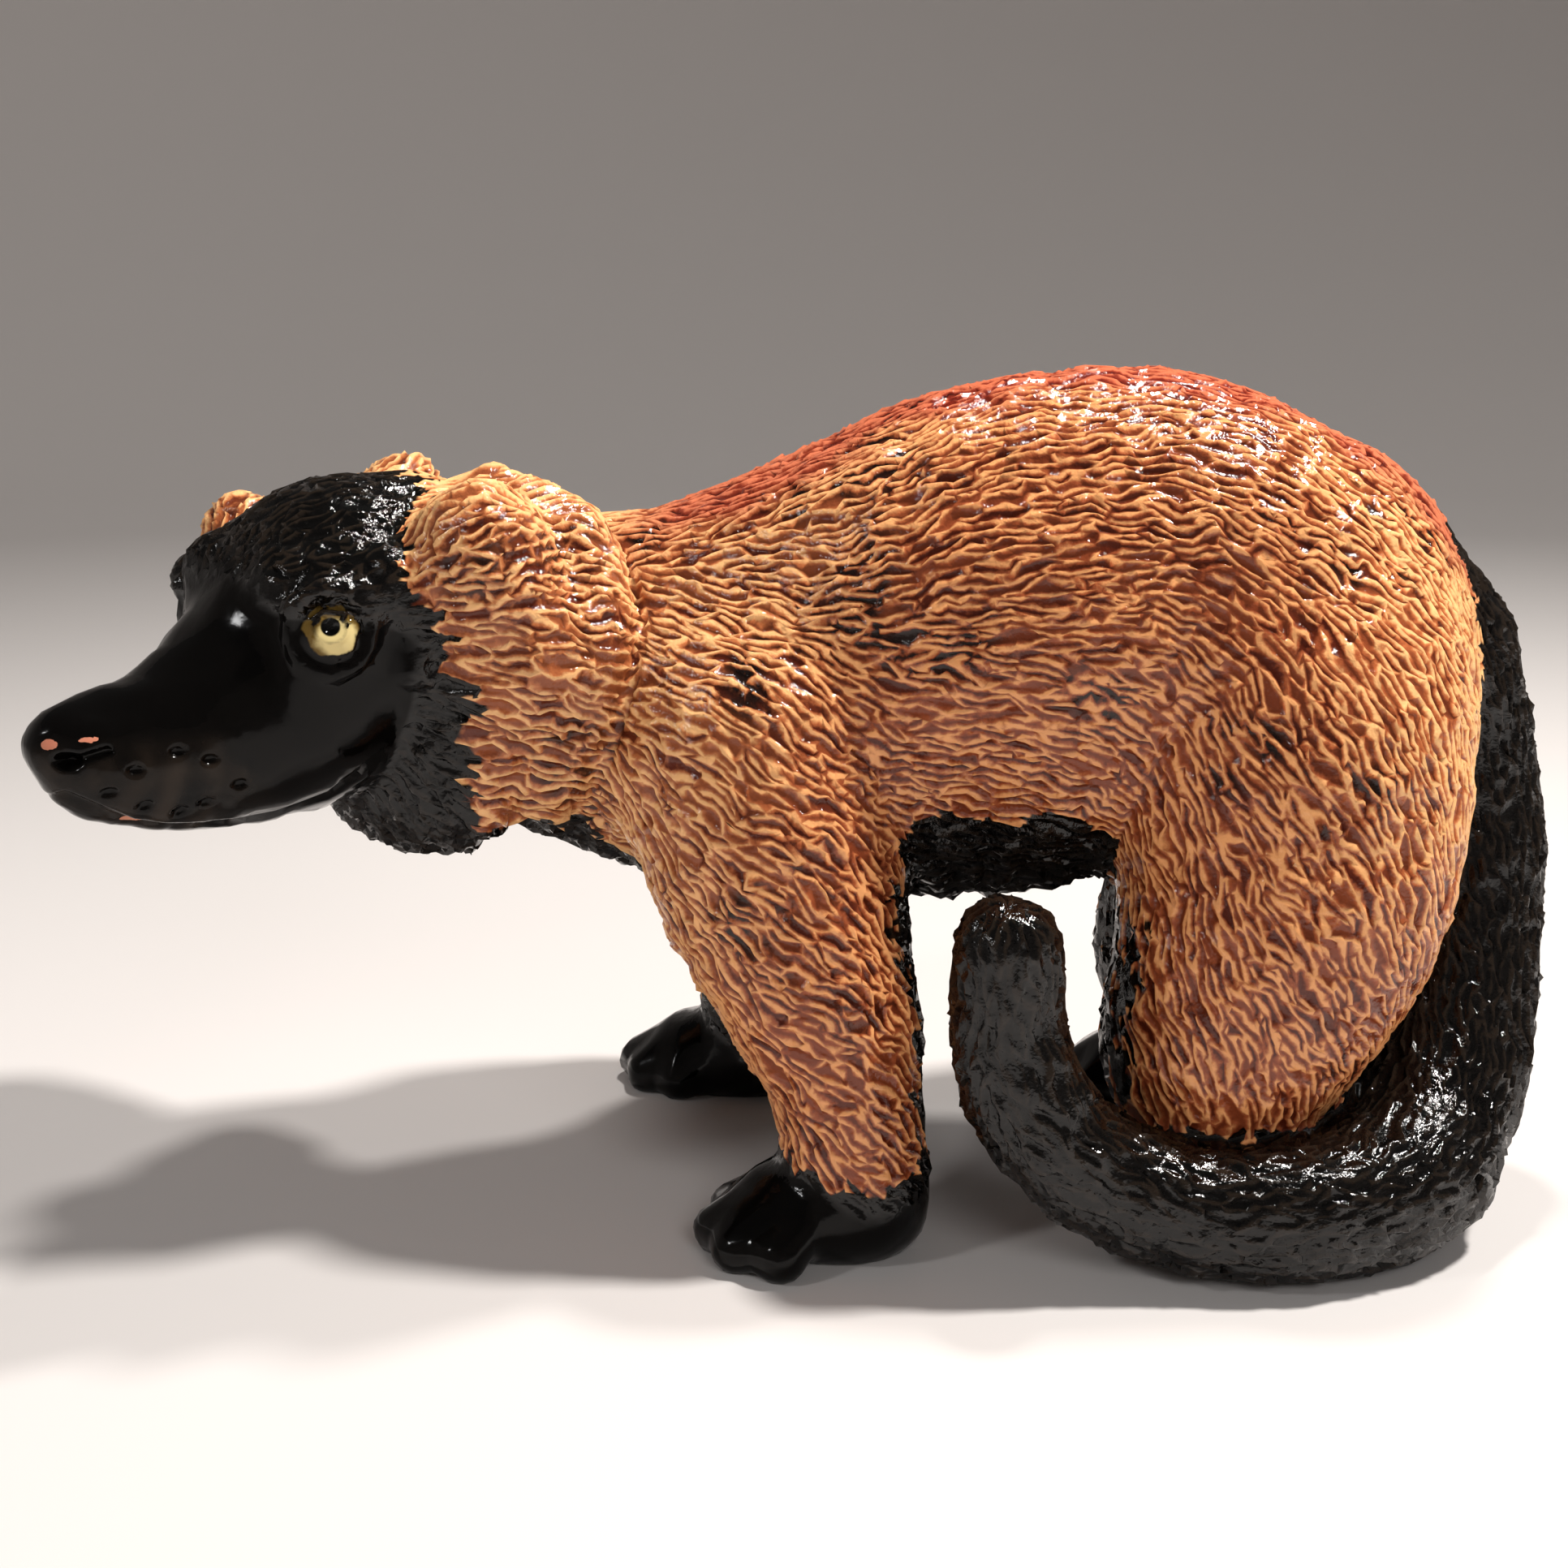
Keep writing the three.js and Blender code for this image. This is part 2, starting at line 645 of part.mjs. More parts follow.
function carveFur(mesh, normals) {
  const { places } = mesh;
  const random = randomFrom(7);
  const order = Array.from({ length: places.length / 3 }, (_, i) => ({ i, key: random() }));
  order.sort((a, b) => a.key - b.key);
  const grid = new SeedGrid(LOCK_LENGTH);
  for (const { i } of order) {
    const [x, y, z] = places.slice(3 * i, 3 * i + 3);
    if (grid.twoNearest(x, y, z)[0] > LOCK_CROWDING) {
      grid.add({ x, y, z, lay: furDirection(x / unit, y / unit, z / unit) });
    }
  }
  const carved = places.slice();
  for (let v = 0; v < places.length; v += 3) {
    const [x, y, z] = places.slice(v, v + 3);
    const [first, second] = grid.twoNearest(x, y, z);
    const hollow = Math.min(1, (second - first) / PIT_EDGE);
    const depth = (RIDGE_SHARE - hollow) * furDepth(x / unit, y / unit, z / unit);
    for (let axis = 0; axis < 3; axis++) {
      carved[v + axis] += depth * normals[v + axis];
    }
  }
  return { places: carved, triangles: mesh.triangles };
}

function mouthCut(f, s, u) {
  let nearest = Infinity;
  for (let i = 1; i < MOUTH_LINE.length; i++) {
    const [startF, startU] = MOUTH_LINE[i - 1];
    const [endF, endU] = MOUTH_LINE[i];
    const length = Math.hypot(endF - startF, endU - startU);
    const dot = (f - startF) * (endF - startF) + (u - startU) * (endU - startU);
    const t = Math.min(1, Math.max(0, dot / length ** 2));
    const away = Math.hypot(f - startF - t * (endF - startF), u - startU - t * (endU - startU));
    nearest = Math.min(nearest, away);
  }
  return MOUTH_DEPTH * smoothStep(MOUTH_WIDTH, 0, nearest * unit);
}

function carveFace(mesh, normals) {
  const { places } = mesh;
  const pupils = eyeCentres.map((centre, i) => centre.map((value, k) => value + gazes[i][k] * eyeRadius));
  const nostrils = [-1, 1].map((side) => inHead(NOSTRIL[0], NOSTRIL[1] * side, NOSTRIL[2]));
  const pit = (centres, radius, depth, x, y, z) => {
    const away = Math.min(...centres.map((place) => Math.hypot(x - place[0], y - place[1], z - place[2])));
    return depth * smoothStep(radius, 0.4 * radius, away * unit);
  };
  for (let v = 0; v < places.length; v += 3) {
    const [x, y, z] = places.slice(v, v + 3).map((value) => value / unit);
    if (x > -30) {
      continue;
    }
    const cut = mouthCut(...headPlace(x, y, z))
      + pit(pupils, PUPIL_RADIUS, PUPIL_DEPTH, x, y, z)
      + pit(nostrils, NOSTRIL_RADIUS, NOSTRIL_DEPTH, x, y, z);
    for (let axis = 0; axis < 3; axis++) {
      places[v + axis] -= cut * normals[v + axis];
    }
  }
}

// Thinning: the edge whose removal moves the surface least goes first, and no facet may turn over.

class EdgeHeap {
  constructor() {
    this.items = [];
  }

  push(item) {
    const { items } = this;
    items.push(item);
    let at = items.length - 1;
    while (at > 0) {
      const parent = (at - 1) >> 1;
      if (items[parent].cost <= items[at].cost) {
        break;
      }
      [items[parent], items[at]] = [items[at], items[parent]];
      at = parent;
    }
  }

  pop() {
    const { items } = this;
    const top = items[0];
    const last = items.pop();
    if (items.length) {
      items[0] = last;
      let at = 0;
      for (;;) {
        const left = 2 * at + 1;
        const right = left + 1;
        let least = at;
        if (left < items.length && items[left].cost < items[least].cost) {
          least = left;
        }
        if (right < items.length && items[right].cost < items[least].cost) {
          least = right;
        }
        if (least === at) {
          break;
        }
        [items[least], items[at]] = [items[at], items[least]];
        at = least;
      }
    }
    return top;
  }
}

// A quadric holds the ten sums that give the squared distance from a point to a set of planes.
function planeQuadric([a, b, c], d, weight) {
  const products = [a * a, a * b, a * c, a * d, b * b, b * c, b * d, c * c, c * d, d * d];
  return products.map((value) => value * weight);
}

function quadricCost(q, [x, y, z]) {
  return q[0] * x * x + 2 * q[1] * x * y + 2 * q[2] * x * z + 2 * q[3] * x + q[4] * y * y
    + 2 * q[5] * y * z + 2 * q[6] * y + q[7] * z * z + 2 * q[8] * z + q[9];
}

function quadricBest(q) {
  const [a, b, c, d, e, f, g, h, i] = q;
  const determinant = a * (e * h - f * f) - b * (b * h - f * c) + c * (b * f - e * c);
  const size = a + e + h;
  if (Math.abs(determinant) < 1e-4 * size ** 3) {
    return null;
  }
  return [
    -(d * (e * h - f * f) - b * (g * h - f * i) + c * (g * f - e * i)) / determinant,
    -(a * (g * h - f * i) - d * (b * h - f * c) + c * (b * i - g * c)) / determinant,
    -(a * (e * i - g * f) - b * (b * i - g * c) + d * (b * f - e * c)) / determinant,
  ];
}

// Facets stay smaller round the eyes and the mouth than on the face, and smaller there than on the fur.
function importance(x, y, z) {
  const onEye = smoothStep(2.5, 1, Math.min(...eyes.map((eye) => Math.abs(eye.distance(x, y, z)))));
  const onFace = smoothStep(3, 1, Math.abs(face.distance(x, y, z)) + Math.max(0, -ruff.distance(x, y, z)));
  const onPaw = smoothStep(3, 1, Math.min(...paws.map((paw) => Math.abs(paw.distance(x, y, z)))));
  return 1 + EYE_IMPORTANCE * onEye + FACE_IMPORTANCE * onFace + PAW_IMPORTANCE * onPaw;
}

function thin({ places, triangles }, target) {
  const count = places.length / 3;
  const around = Array.from({ length: count }, () => []);
  const quadrics = Array.from({ length: count }, () => new Float64Array(10));
  const alive = new Uint8Array(triangles.length / 3).fill(1);
  const stamp = new Int32Array(count);
  const place = (v) => [places[3 * v], places[3 * v + 1], places[3 * v + 2]];
  for (let t = 0; t < triangles.length / 3; t++) {
    const corner = triangles.subarray(3 * t, 3 * t + 3);
    const normal = faceNormal(places, ...corner);
    const area = size(...normal) || 1e-12;
    const unitNormal = normal.map((value) => value / area);
    const start = place(corner[0]);
    const offset = -(unitNormal[0] * start[0] + unitNormal[1] * start[1] + unitNormal[2] * start[2]);
    const weight = area * importance(...start.map((value) => value / unit));
    const quadric = planeQuadric(unitNormal, offset, weight);
    for (const v of corner) {
      around[v].push(t);
      quadric.forEach((value, k) => {
        quadrics[v][k] += value;
      });
    }
  }
  const neighbours = (v) => {
    const found = new Set();
    for (const t of around[v]) {
      found.add(triangles[3 * t]).add(triangles[3 * t + 1]).add(triangles[3 * t + 2]);
    }
    found.delete(v);
    return found;
  };
  const heap = new EdgeHeap();
  const offer = (a, b) => {
    const sum = quadrics[a].map((value, k) => value + quadrics[b][k]);
    const start = place(a);
    const end = place(b);
    const middle = start.map((value, k) => (value + end[k]) / 2);
    const length = size(start[0] - end[0], start[1] - end[1], start[2] - end[2]);
    const best = quadricBest(sum);
    const options = [start, end, middle];
    if (best && size(best[0] - middle[0], best[1] - middle[1], best[2] - middle[2]) < 1.5 * length) {
      options.push(best);
    }
    let chosen = null;
    let least = Infinity;
    for (const option of options) {
      const cost = quadricCost(sum, option);
      if (cost < least) {
        least = cost;
        chosen = option;
      }
    }
    const cost = Math.max(0, least) + EDGE_LENGTH_COST * length * length;
    heap.push({ cost, a, b, stampA: stamp[a], stampB: stamp[b], chosen });
  };
  const keepsShape = (v, other, [x, y, z]) => {
    for (const t of around[v]) {
      const corner = [triangles[3 * t], triangles[3 * t + 1], triangles[3 * t + 2]];
      if (corner.includes(other)) {
        continue;
      }
      const before = faceNormal(places, ...corner);
      const at = corner.map((c) => (c === v ? [x, y, z] : place(c)));
      const flat = new Float64Array(at.flat());
      const after = faceNormal(flat, 0, 1, 2);
      const sizeBefore = size(...before);
      const sizeAfter = size(...after);
      const dot = before[0] * after[0] + before[1] * after[1] + before[2] * after[2];
      const longest = Math.max(...at.map((p, i) => {
        const q = at[(i + 1) % 3];
        return size(p[0] - q[0], p[1] - q[1], p[2] - q[2]);
      }));
      if (dot < LEAST_TURN * sizeBefore * sizeAfter || sizeAfter < LEAST_SHAPE * longest * longest) {
        return false;
      }
    }
    return true;
  };
  for (let v = 0; v < count; v++) {
    for (const other of neighbours(v)) {
      if (v < other) {
        offer(v, other);
      }
    }
  }
  let left = alive.length;
  while (left > target && heap.items.length) {
    const { a, b, stampA, stampB, chosen } = heap.pop();
    if (stamp[a] !== stampA || stamp[b] !== stampB) {
      continue;
    }
    const nearA = neighbours(a);
    const shared = [...neighbours(b)].filter((v) => nearA.has(v));
    if (shared.length !== 2 || !keepsShape(a, b, chosen) || !keepsShape(b, a, chosen)) {
      continue;
    }
    places.set(chosen, 3 * a);
    quadrics[b].forEach((value, k) => {
      quadrics[a][k] += value;
    });
    for (const t of around[b]) {
      const corner = triangles.subarray(3 * t, 3 * t + 3);
      if (corner.includes(a)) {
        alive[t] = 0;
        left--;
        for (const v of corner) {
          if (v !== b) {
            around[v] = around[v].filter((other) => other !== t);
          }
        }
      } else {
        corner[corner.indexOf(b)] = a;
        around[a].push(t);
      }
    }
    around[b] = [];
    stamp[a]++;
    stamp[b] = -1;
    for (const v of neighbours(a)) {
      offer(a, v);
    }
  }
  const renumber = new Map();
  const kept = [];
  const index = [];
  for (let t = 0; t < alive.length; t++) {
    if (alive[t]) {
      for (let corner = 0; corner < 3; corner++) {
        const v = triangles[3 * t + corner];
        if (!renumber.has(v)) {
          renumber.set(v, renumber.size);
          kept.push(...place(v));
        }
        index.push(renumber.get(v));
      }
    }
  }
  return { places: Float32Array.from(kept), triangles: Uint32Array.from(index) };
}

// Cutting the soles flat

const wasm = await Module();
wasm.setup();

function toSolid(places, triangles) {
  return new wasm.Manifold(new wasm.Mesh({ numProp: 3, vertProperties: places, triVerts: triangles }));
}

function slabBelowGround(length) {
  const slab = new BoxGeometry(2 * length, 2 * length, length).translate(0, 0, -length / 2);
  slab.deleteAttribute('normal');
  slab.deleteAttribute('uv');
  const merged = mergeVertices(slab);
  return toSolid(merged.attributes.position.array, Uint32Array.from(merged.index.array));
}

function makeLemur() {
  const rough = meshSurface(figure, POSE_LOW, POSE_HIGH, MESH_STEP);
  rough.places = rough.places.map((value) => value * unit);
  const normals = vertexNormals(rough);
  const carved = carveFur(rough, normals);
  carveFace(carved, normals);
  const skin = thin(carved, FACET_COUNT);
  for (let v = 0; v < skin.places.length; v += 3) {
    skin.places[v] -= FOOTPRINT_CENTRE[0] * unit;
    skin.places[v + 1] -= FOOTPRINT_CENTRE[1] * unit;
  }
  const standing = toSolid(skin.places, skin.triangles).subtract(slabBelowGround(FIGURE_LENGTH)).getMesh();
  const geometry = new BufferGeometry();
  geometry.setAttribute('position', new BufferAttribute(standing.vertProperties, 3));
  geometry.setIndex(new BufferAttribute(standing.triVerts, 1));
  geometry.computeVertexNormals();
  const lemur = new Mesh(geometry, new MeshStandardMaterial(GLAZE));
  lemur.name = 'lemur';
  return lemur;
}

const sculpture = new Group();
sculpture.add(makeLemur());

export default sculpture;
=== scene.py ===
import math

import bpy
import numpy as np
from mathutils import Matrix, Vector, kdtree


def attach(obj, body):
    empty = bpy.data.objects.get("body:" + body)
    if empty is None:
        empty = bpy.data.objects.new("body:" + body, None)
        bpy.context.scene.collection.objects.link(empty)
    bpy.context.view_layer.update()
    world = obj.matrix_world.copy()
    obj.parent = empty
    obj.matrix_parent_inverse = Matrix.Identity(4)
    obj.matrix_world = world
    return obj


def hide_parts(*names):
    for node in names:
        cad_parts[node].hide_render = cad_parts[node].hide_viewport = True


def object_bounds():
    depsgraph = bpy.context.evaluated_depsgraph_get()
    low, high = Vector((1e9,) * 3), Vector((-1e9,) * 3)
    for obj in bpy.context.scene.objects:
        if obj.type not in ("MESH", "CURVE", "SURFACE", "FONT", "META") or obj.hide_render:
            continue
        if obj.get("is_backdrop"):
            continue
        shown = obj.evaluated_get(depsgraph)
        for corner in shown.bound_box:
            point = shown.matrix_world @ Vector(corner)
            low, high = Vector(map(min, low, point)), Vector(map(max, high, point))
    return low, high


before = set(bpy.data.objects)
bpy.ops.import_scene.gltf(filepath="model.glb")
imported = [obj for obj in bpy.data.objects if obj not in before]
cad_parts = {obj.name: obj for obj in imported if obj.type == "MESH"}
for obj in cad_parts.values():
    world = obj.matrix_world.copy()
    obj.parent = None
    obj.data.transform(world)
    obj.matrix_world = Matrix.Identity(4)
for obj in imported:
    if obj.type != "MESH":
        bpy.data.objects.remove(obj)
cad_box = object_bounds()

# The figure's pose is written in millimetres, as the solid's is, and placed in metres with MM about
# FOOTPRINT_CENTRE.
MM = 0.001
FOOTPRINT_CENTRE = np.array([7.14, -1.26, 0.0])

# Meshing
GRID_STEP = 0.62
BLOCK = 6
BLOCK_CLEARANCE = 1.6
LEAST_VALUE = 0.05
FILLED = -0.16
FINAL_TRIANGLES = 197000
FUR_FREEDOM = 0.998
EYE_MARGIN = 1.2
BOX_CLEARANCE = 0.02
SOLE_BAND = 0.12

# Strokes
STROKE_SEED = 11
LEAST_FUR = 0.02
FUR_REACH = 7.5
STROKE_CROWDING = 0.8
FARTHEST_STROKE = 1.5
SEED_CANDIDATES = 50000
END_RIDGE_LOSS = 0.7
RIDGE_WIDTH = 0.26
CHUNK = 40000

# Depths and heights of what is cut into the skin or raised on it
COLLAR_GROOVE = 1.7
LEG_GROOVE = 1.0
HAUNCH_GROOVE = 0.9
LIP_SHARE = 0.25
MOUTH_DEPTH = 0.75
PIT_DEPTH = 0.6
NOSTRIL_DEPTH = 1.3
SLIT_DEPTH = 0.7
PUPIL_DEPTH = 0.45
PUPIL_RIM = 0.22
SKIN_WAVES = 0.16
FUR_WAVES = 0.30
BELLY_TUFTS = 0.4

# Face and paws
EYE_RADIUS = 3.9
EYE_OUT = 12.8
LID_RADIUS = 4.35
LID_THICKNESS = 0.95
LID_RISE = 1.5
PUPIL_RADIUS = 1.05
PUPIL_RISE = 0.75
GAZE = (0.51, 0.85, 0.15)
TOE_RADIUS = 3.2
SOLE_PRESS = 0.6

# Head frame: f runs forward from between the eyes, s to the figure's right and u up.
HEAD_TURN = math.radians(44)
EYE_LINE = np.array([-59.8, -18.0, 74.4])
FORWARD = np.array([-math.cos(HEAD_TURN), -math.sin(HEAD_TURN), 0.0])
SIDEWAYS = np.array([-math.sin(HEAD_TURN), math.cos(HEAD_TURN), 0.0])
UPWARD = np.array([0.0, 0.0, 1.0])
HEAD_AXES = np.array([FORWARD, SIDEWAYS, UPWARD])


def in_head(f, s, u):
    return EYE_LINE + FORWARD * f + SIDEWAYS * s + UPWARD * u


def head_place(p):
    return (p - EYE_LINE) @ HEAD_AXES.T


def head_limb(places):
    return [[*in_head(f, s, u), r] for f, s, u, r in places]


# Pose: each place along a limb is x, y, z and the limb's radius there.
TORSO = [[-22, 0, 63, 19.6], [-6, 0, 62.6, 24.6], [10, 0, 65.2, 27.8],
         [27, 0, 69, 31.2], [43, 0, 71.9, 30], [56, 0, 67.6, 28.9]]
TORSO_SQUASH = 0.84
NECK = [[-24, -1, 64.5, 17.5], [-40, -5, 69, 15.5]]
MUZZLE = head_limb([(0, 0, -10.4, 13.2), (11, 0, -13.2, 9.9), (20, 0, -13.2, 7.3), (24.6, 0, -11.6, 4.6)])
COLLAR = [(-26, -9, 12.5, 4.2), (-29, -18, 9, 4.8), (-28.5, -24, 2, 5.2), (-26.5, -26, -6, 5.4),
          (-25.5, -24, -14, 5), (-25, -19, -20, 4.6)]
BROW = [(1, 8, 5, 3.4), (-6, 14, 4, 3.4)]
UPPER_LID = [(-5.2, 12.2, 2.6, 1.1), (-3.2, 14.6, 4.4, 1.5), (0.6, 14.6, 4.8, 1.5), (3.6, 12.4, 2.8, 1.1)]
CHEEK_FOLD = [(-7, 15.5, 6.5, 1.8), (-10, 17, 1, 2.2), (-9, 17, -5, 1.8)]
TAIL = [[72.4, 1, 78.7, 9], [80.5, 2, 68.6, 9.7], [83.9, 2, 56.5, 10.2], [85.5, 0, 41.6, 10.5],
        [83.6, -6, 27.5, 10.4], [79.6, -16, 14.5, 9.8], [72, -26, 9.1 - SOLE_PRESS, 9.1],
        [60, -32.5, 8.3 - SOLE_PRESS, 8.3], [48, -33, 8, 7.5], [37.6, -33, 12, 7.1],
        [30.5, -33.5, 17.5, 6.9], [25.8, -33.5, 27, 6.4], [25, -33.5, 39.6, 6]]
HIND_SQUASH = 0.85
HIND_MIDDLE = 14
PAWS = [((4.8, -25), 192, 12.5), ((-8.5, 26.5), 172, 12.5), ((51, -20.5), 183, 11.5), ((54, 22.5), 174, 11.5)]
TOE_SPREAD = (-56, -29, -4, 21, 48)
TOE_SHARE = (0.66, 0.9, 1, 0.97, 0.84)


def foreleg(side, shift):
    return [[-4 + shift * 0.2, 13 * side, 58, 16.5], [shift * 0.5, 18.5 * side, 42, 14.2],
            [4 + shift * 0.75, 21.5 * side, 31, 11.6], [7.5 + shift, 24 * side, 20, 8.8],
            [8.6 + shift, 25 * side, 8, 8.4]]


def hindleg(side, shift):
    return [[60 + shift, 12 * side, 58, 21.5], [60 + shift, 17 * side, 44, 19.6],
            [56.5 + shift, 19.5 * side, 33, 17.3], [52.5 + shift, 21.5 * side, 24, 14.2],
            [51 + shift, 22.5 * side, 17, 10.5], [52.5 + shift, 22.5 * side, 7, 8]]


# Soft shapes

def soft_min(a, b, softness):
    mix = np.clip(0.5 + 0.5 * (b - a) / softness, 0, 1)
    return b + (a - b) * mix - softness * mix * (1 - mix)


def smooth_step(low, high, value):
    t = np.clip((value - low) / (high - low), 0, 1)
    return t * t * (3 - 2 * t)


def spline(points, steps):
    given = np.asarray(points, float)
    path = np.vstack([2 * given[0] - given[1], given, 2 * given[-1] - given[-2]])
    out = []
    for before, here, after, beyond in zip(path, path[1:], path[2:], path[3:]):
        for step in range(steps):
            t = step / steps
            bend = 2 * before - 5 * here + 4 * after - beyond
            twist = 3 * (here - after) + beyond - before
            out.append(0.5 * (2 * here + (after - before) * t + bend * t ** 2 + twist * t ** 3))
    out.append(given[-1])
    return np.array(out)


class Limb:
    """Tapered bones along a smooth path; squash narrows the limb along Y about the line y = middle."""

    def __init__(self, points, steps=3, squash=1.0, middle=0.0):
        path = spline(points, steps)
        self.squash, self.middle = squash, middle
        self.start = path[:-1, :3].astype(np.float32)
        self.along = np.diff(path[:, :3], axis=0).astype(np.float32)
        self.radius = path[:-1, 3]
        self.taper = np.diff(path[:, 3])
        self.squared = (self.along ** 2).sum(1)
        self.grain = self.along / np.sqrt(self.squared)[:, None]

    def distance(self, p, with_bone=False):
        if self.squash != 1:
            p = p.copy()
            p[:, 1] = self.middle + (p[:, 1] - self.middle) / self.squash
        best = np.full(len(p), 1e9, np.float32)
        bone = np.zeros(len(p), int)
        for i in range(len(self.start)):
            gap = p - self.start[i]
            t = np.clip(gap @ self.along[i] / self.squared[i], 0, 1)
            gap -= t[:, None] * self.along[i]
            found = np.sqrt(np.einsum("ij,ij->i", gap, gap)) - (self.radius[i] + t * self.taper[i])
            if with_bone:
                bone[found < best] = i
            np.minimum(best, found, out=best)
        return (best, bone) if with_bone else best


class Mass:
    """An ellipsoid along given axes."""

    def __init__(self, centre, radii, axes=np.eye(3)):
        self.centre = np.asarray(centre, np.float32)
        self.radii = np.asarray(radii, np.float32)
        self.axes = np.asarray(axes, np.float32)

    def distance(self, p):
        share = (p - self.centre) @ self.axes.T / self.radii
        near = np.sqrt((share ** 2).sum(1))
        slope = np.sqrt(((share / self.radii) ** 2).sum(1))
        return near * (near - 1) / (slope + 1e-9)


class Ring:
    """A thin ring round an axis, such as an eyelid."""

    def __init__(self, centre, axis, radius, thickness):
        self.centre = np.asarray(centre, np.float32)
        self.axis = np.asarray(axis, np.float32)
        self.radius, self.thickness = radius, thickness

    def distance(self, p):
        gap = p - self.centre
        height = gap @ self.axis
        out = np.sqrt(np.maximum((gap ** 2).sum(1) - height ** 2, 0)) - self.radius
        return np.sqrt(out ** 2 + height ** 2) - self.thickness


class Blend:
    """Each member is a shape and the softness with which it joins the ones before it."""

    def __init__(self, members):
        self.members = members

    def distance(self, p):
        near = None
        for shape, softness in self.members:
            found = shape.distance(p)
            near = found if near is None else soft_min(near, found, softness)
        return near


def make_paw(palm, heading, reach):
    members = [(Mass((palm[0] + 1.5, palm[1], 4.6), (10.5, 8, 7.4)), 0)]
    shares = TOE_SHARE if palm[1] < 0 else TOE_SHARE[::-1]
    for spread, share in zip(TOE_SPREAD, shares):
        angle = math.radians(heading + spread)
        out = (math.cos(angle) * reach * share, math.sin(angle) * reach * share)
        knuckle = [palm[0] + out[0] * 0.55, palm[1] + out[1] * 0.55, 6, TOE_RADIUS + 0.1]
        tip = [palm[0] + out[0], palm[1] + out[1], TOE_RADIUS - SOLE_PRESS, TOE_RADIUS]
        members.append((Limb([knuckle, tip], 1), 2.2))
    return Blend(members)


def pair_of_limbs(places, steps=3):
    """The same limb on both sides of the head."""
    return [Limb(head_limb([(f, s * side, u, r) for f, s, u, r in places]), steps) for side in (-1, 1)]


torso = Limb(TORSO, squash=TORSO_SQUASH)
neck = Limb(NECK, 1)
forelegs = [Limb(foreleg(-1, 0)), Limb(foreleg(1, -11))]
hindlegs = [Limb(hindleg(-1, 0), squash=HIND_SQUASH, middle=-HIND_MIDDLE),
            Limb(hindleg(1, 5), squash=HIND_SQUASH, middle=HIND_MIDDLE)]
tail = Limb(TAIL)
body = Blend([(torso, 0), (neck, 6)] + [(leg, 6) for leg in forelegs + hindlegs])
skull = Mass(in_head(-11.5, 0, -1.5), (17.5, 16.5, 17), HEAD_AXES)
muzzle = Limb(MUZZLE)
brows = pair_of_limbs(BROW, 1)
face = Blend([(skull, 0), (muzzle, 7), (brows[0], 4), (brows[1], 4)])
collars = pair_of_limbs(COLLAR)[::-1]
ruff = Blend([(Mass(in_head(-20.5, 0, -4), (12.5, 29.5, 19.5), HEAD_AXES), 0),
              (Mass(in_head(-18.5, -2, -16.5), (10.5, 19, 14), HEAD_AXES), 4),
              (collars[0], 2.5), (collars[1], 2.5)])
ears = [Mass(in_head(-17, -19.5, 6.5), (7.5, 8, 9), HEAD_AXES),
        Mass(in_head(-10.5, 21, 5.3), (6.2, 6.5, 7.2), HEAD_AXES)]
eye_centres = [in_head(-1, EYE_OUT * side, -0.5) for side in (-1, 1)]
gazes = [HEAD_AXES.T @ np.array([GAZE[0], GAZE[1] * side, GAZE[2]]) for side in (-1, 1)]
eyes = [Mass(centre, (EYE_RADIUS,) * 3) for centre in eye_centres]
pupils = [centre + EYE_RADIUS * gaze + PUPIL_RISE * UPWARD for centre, gaze in zip(eye_centres, gazes)]
lids = [Ring(centre + gaze * LID_RISE, gaze, LID_RADIUS, LID_THICKNESS)
        for centre, gaze in zip(eye_centres, gazes)]
upper_lids = pair_of_limbs(UPPER_LID)
cheek_folds = pair_of_limbs(CHEEK_FOLD)
head_shape = Blend([(face, 0), (ruff, 3), (ears[0], 4), (ears[1], 3)]
                   + [(fold, 2) for fold in cheek_folds] + [(lid, 1.2) for lid in lids + upper_lids]
                   + [(eye, 0.3) for eye in eyes])
paws = [make_paw(*paw) for paw in PAWS]
heel = Mass((65.5, -18.5, 11.5), (8, 6, 7.5))
figure = Blend([(body, 0), (head_shape, 0.8)] + [(paw, 2.5) for paw in paws] + [(tail, 2), (heel, 2)])


def field(p):
    p = np.asarray(p, np.float32)
    parts = np.array_split(p, max(1, len(p) // 60000))
    return np.maximum(np.concatenate([figure.distance(part) for part in parts]), -p[:, 2])


# Meshing: one vertex in each cell that the surface crosses, and one quad across each edge it cuts.

CORNERS = np.array([(c >> 2 & 1, c >> 1 & 1, c & 1) for c in range(8)])
CUBE_EDGES = [(a, a | bit) for a in range(8) for bit in (4, 2, 1) if not a & bit]


def is_plain_cell(signs):
    for u, v, w in ((1, 2, 4), (1, 4, 2), (2, 4, 1)):
        for side in (0, w):
            ring = [signs >> c & 1 for c in (side, side | u, side | u | v, side | v)]
            if ring[0] == ring[2] and ring[1] == ring[3] and ring[0] != ring[1]:
                return False
    for wanted in (0, 1):
        group = {c: c for c in range(8) if (signs >> c & 1) == wanted}
        for _ in range(8):
            for a, b in CUBE_EDGES:
                if a in group and b in group:
                    group[a] = group[b] = min(group[a], group[b])
        if len(set(group.values())) > 1:
            return False
    return True


PLAIN_CELL = np.array([is_plain_cell(signs) for signs in range(256)])


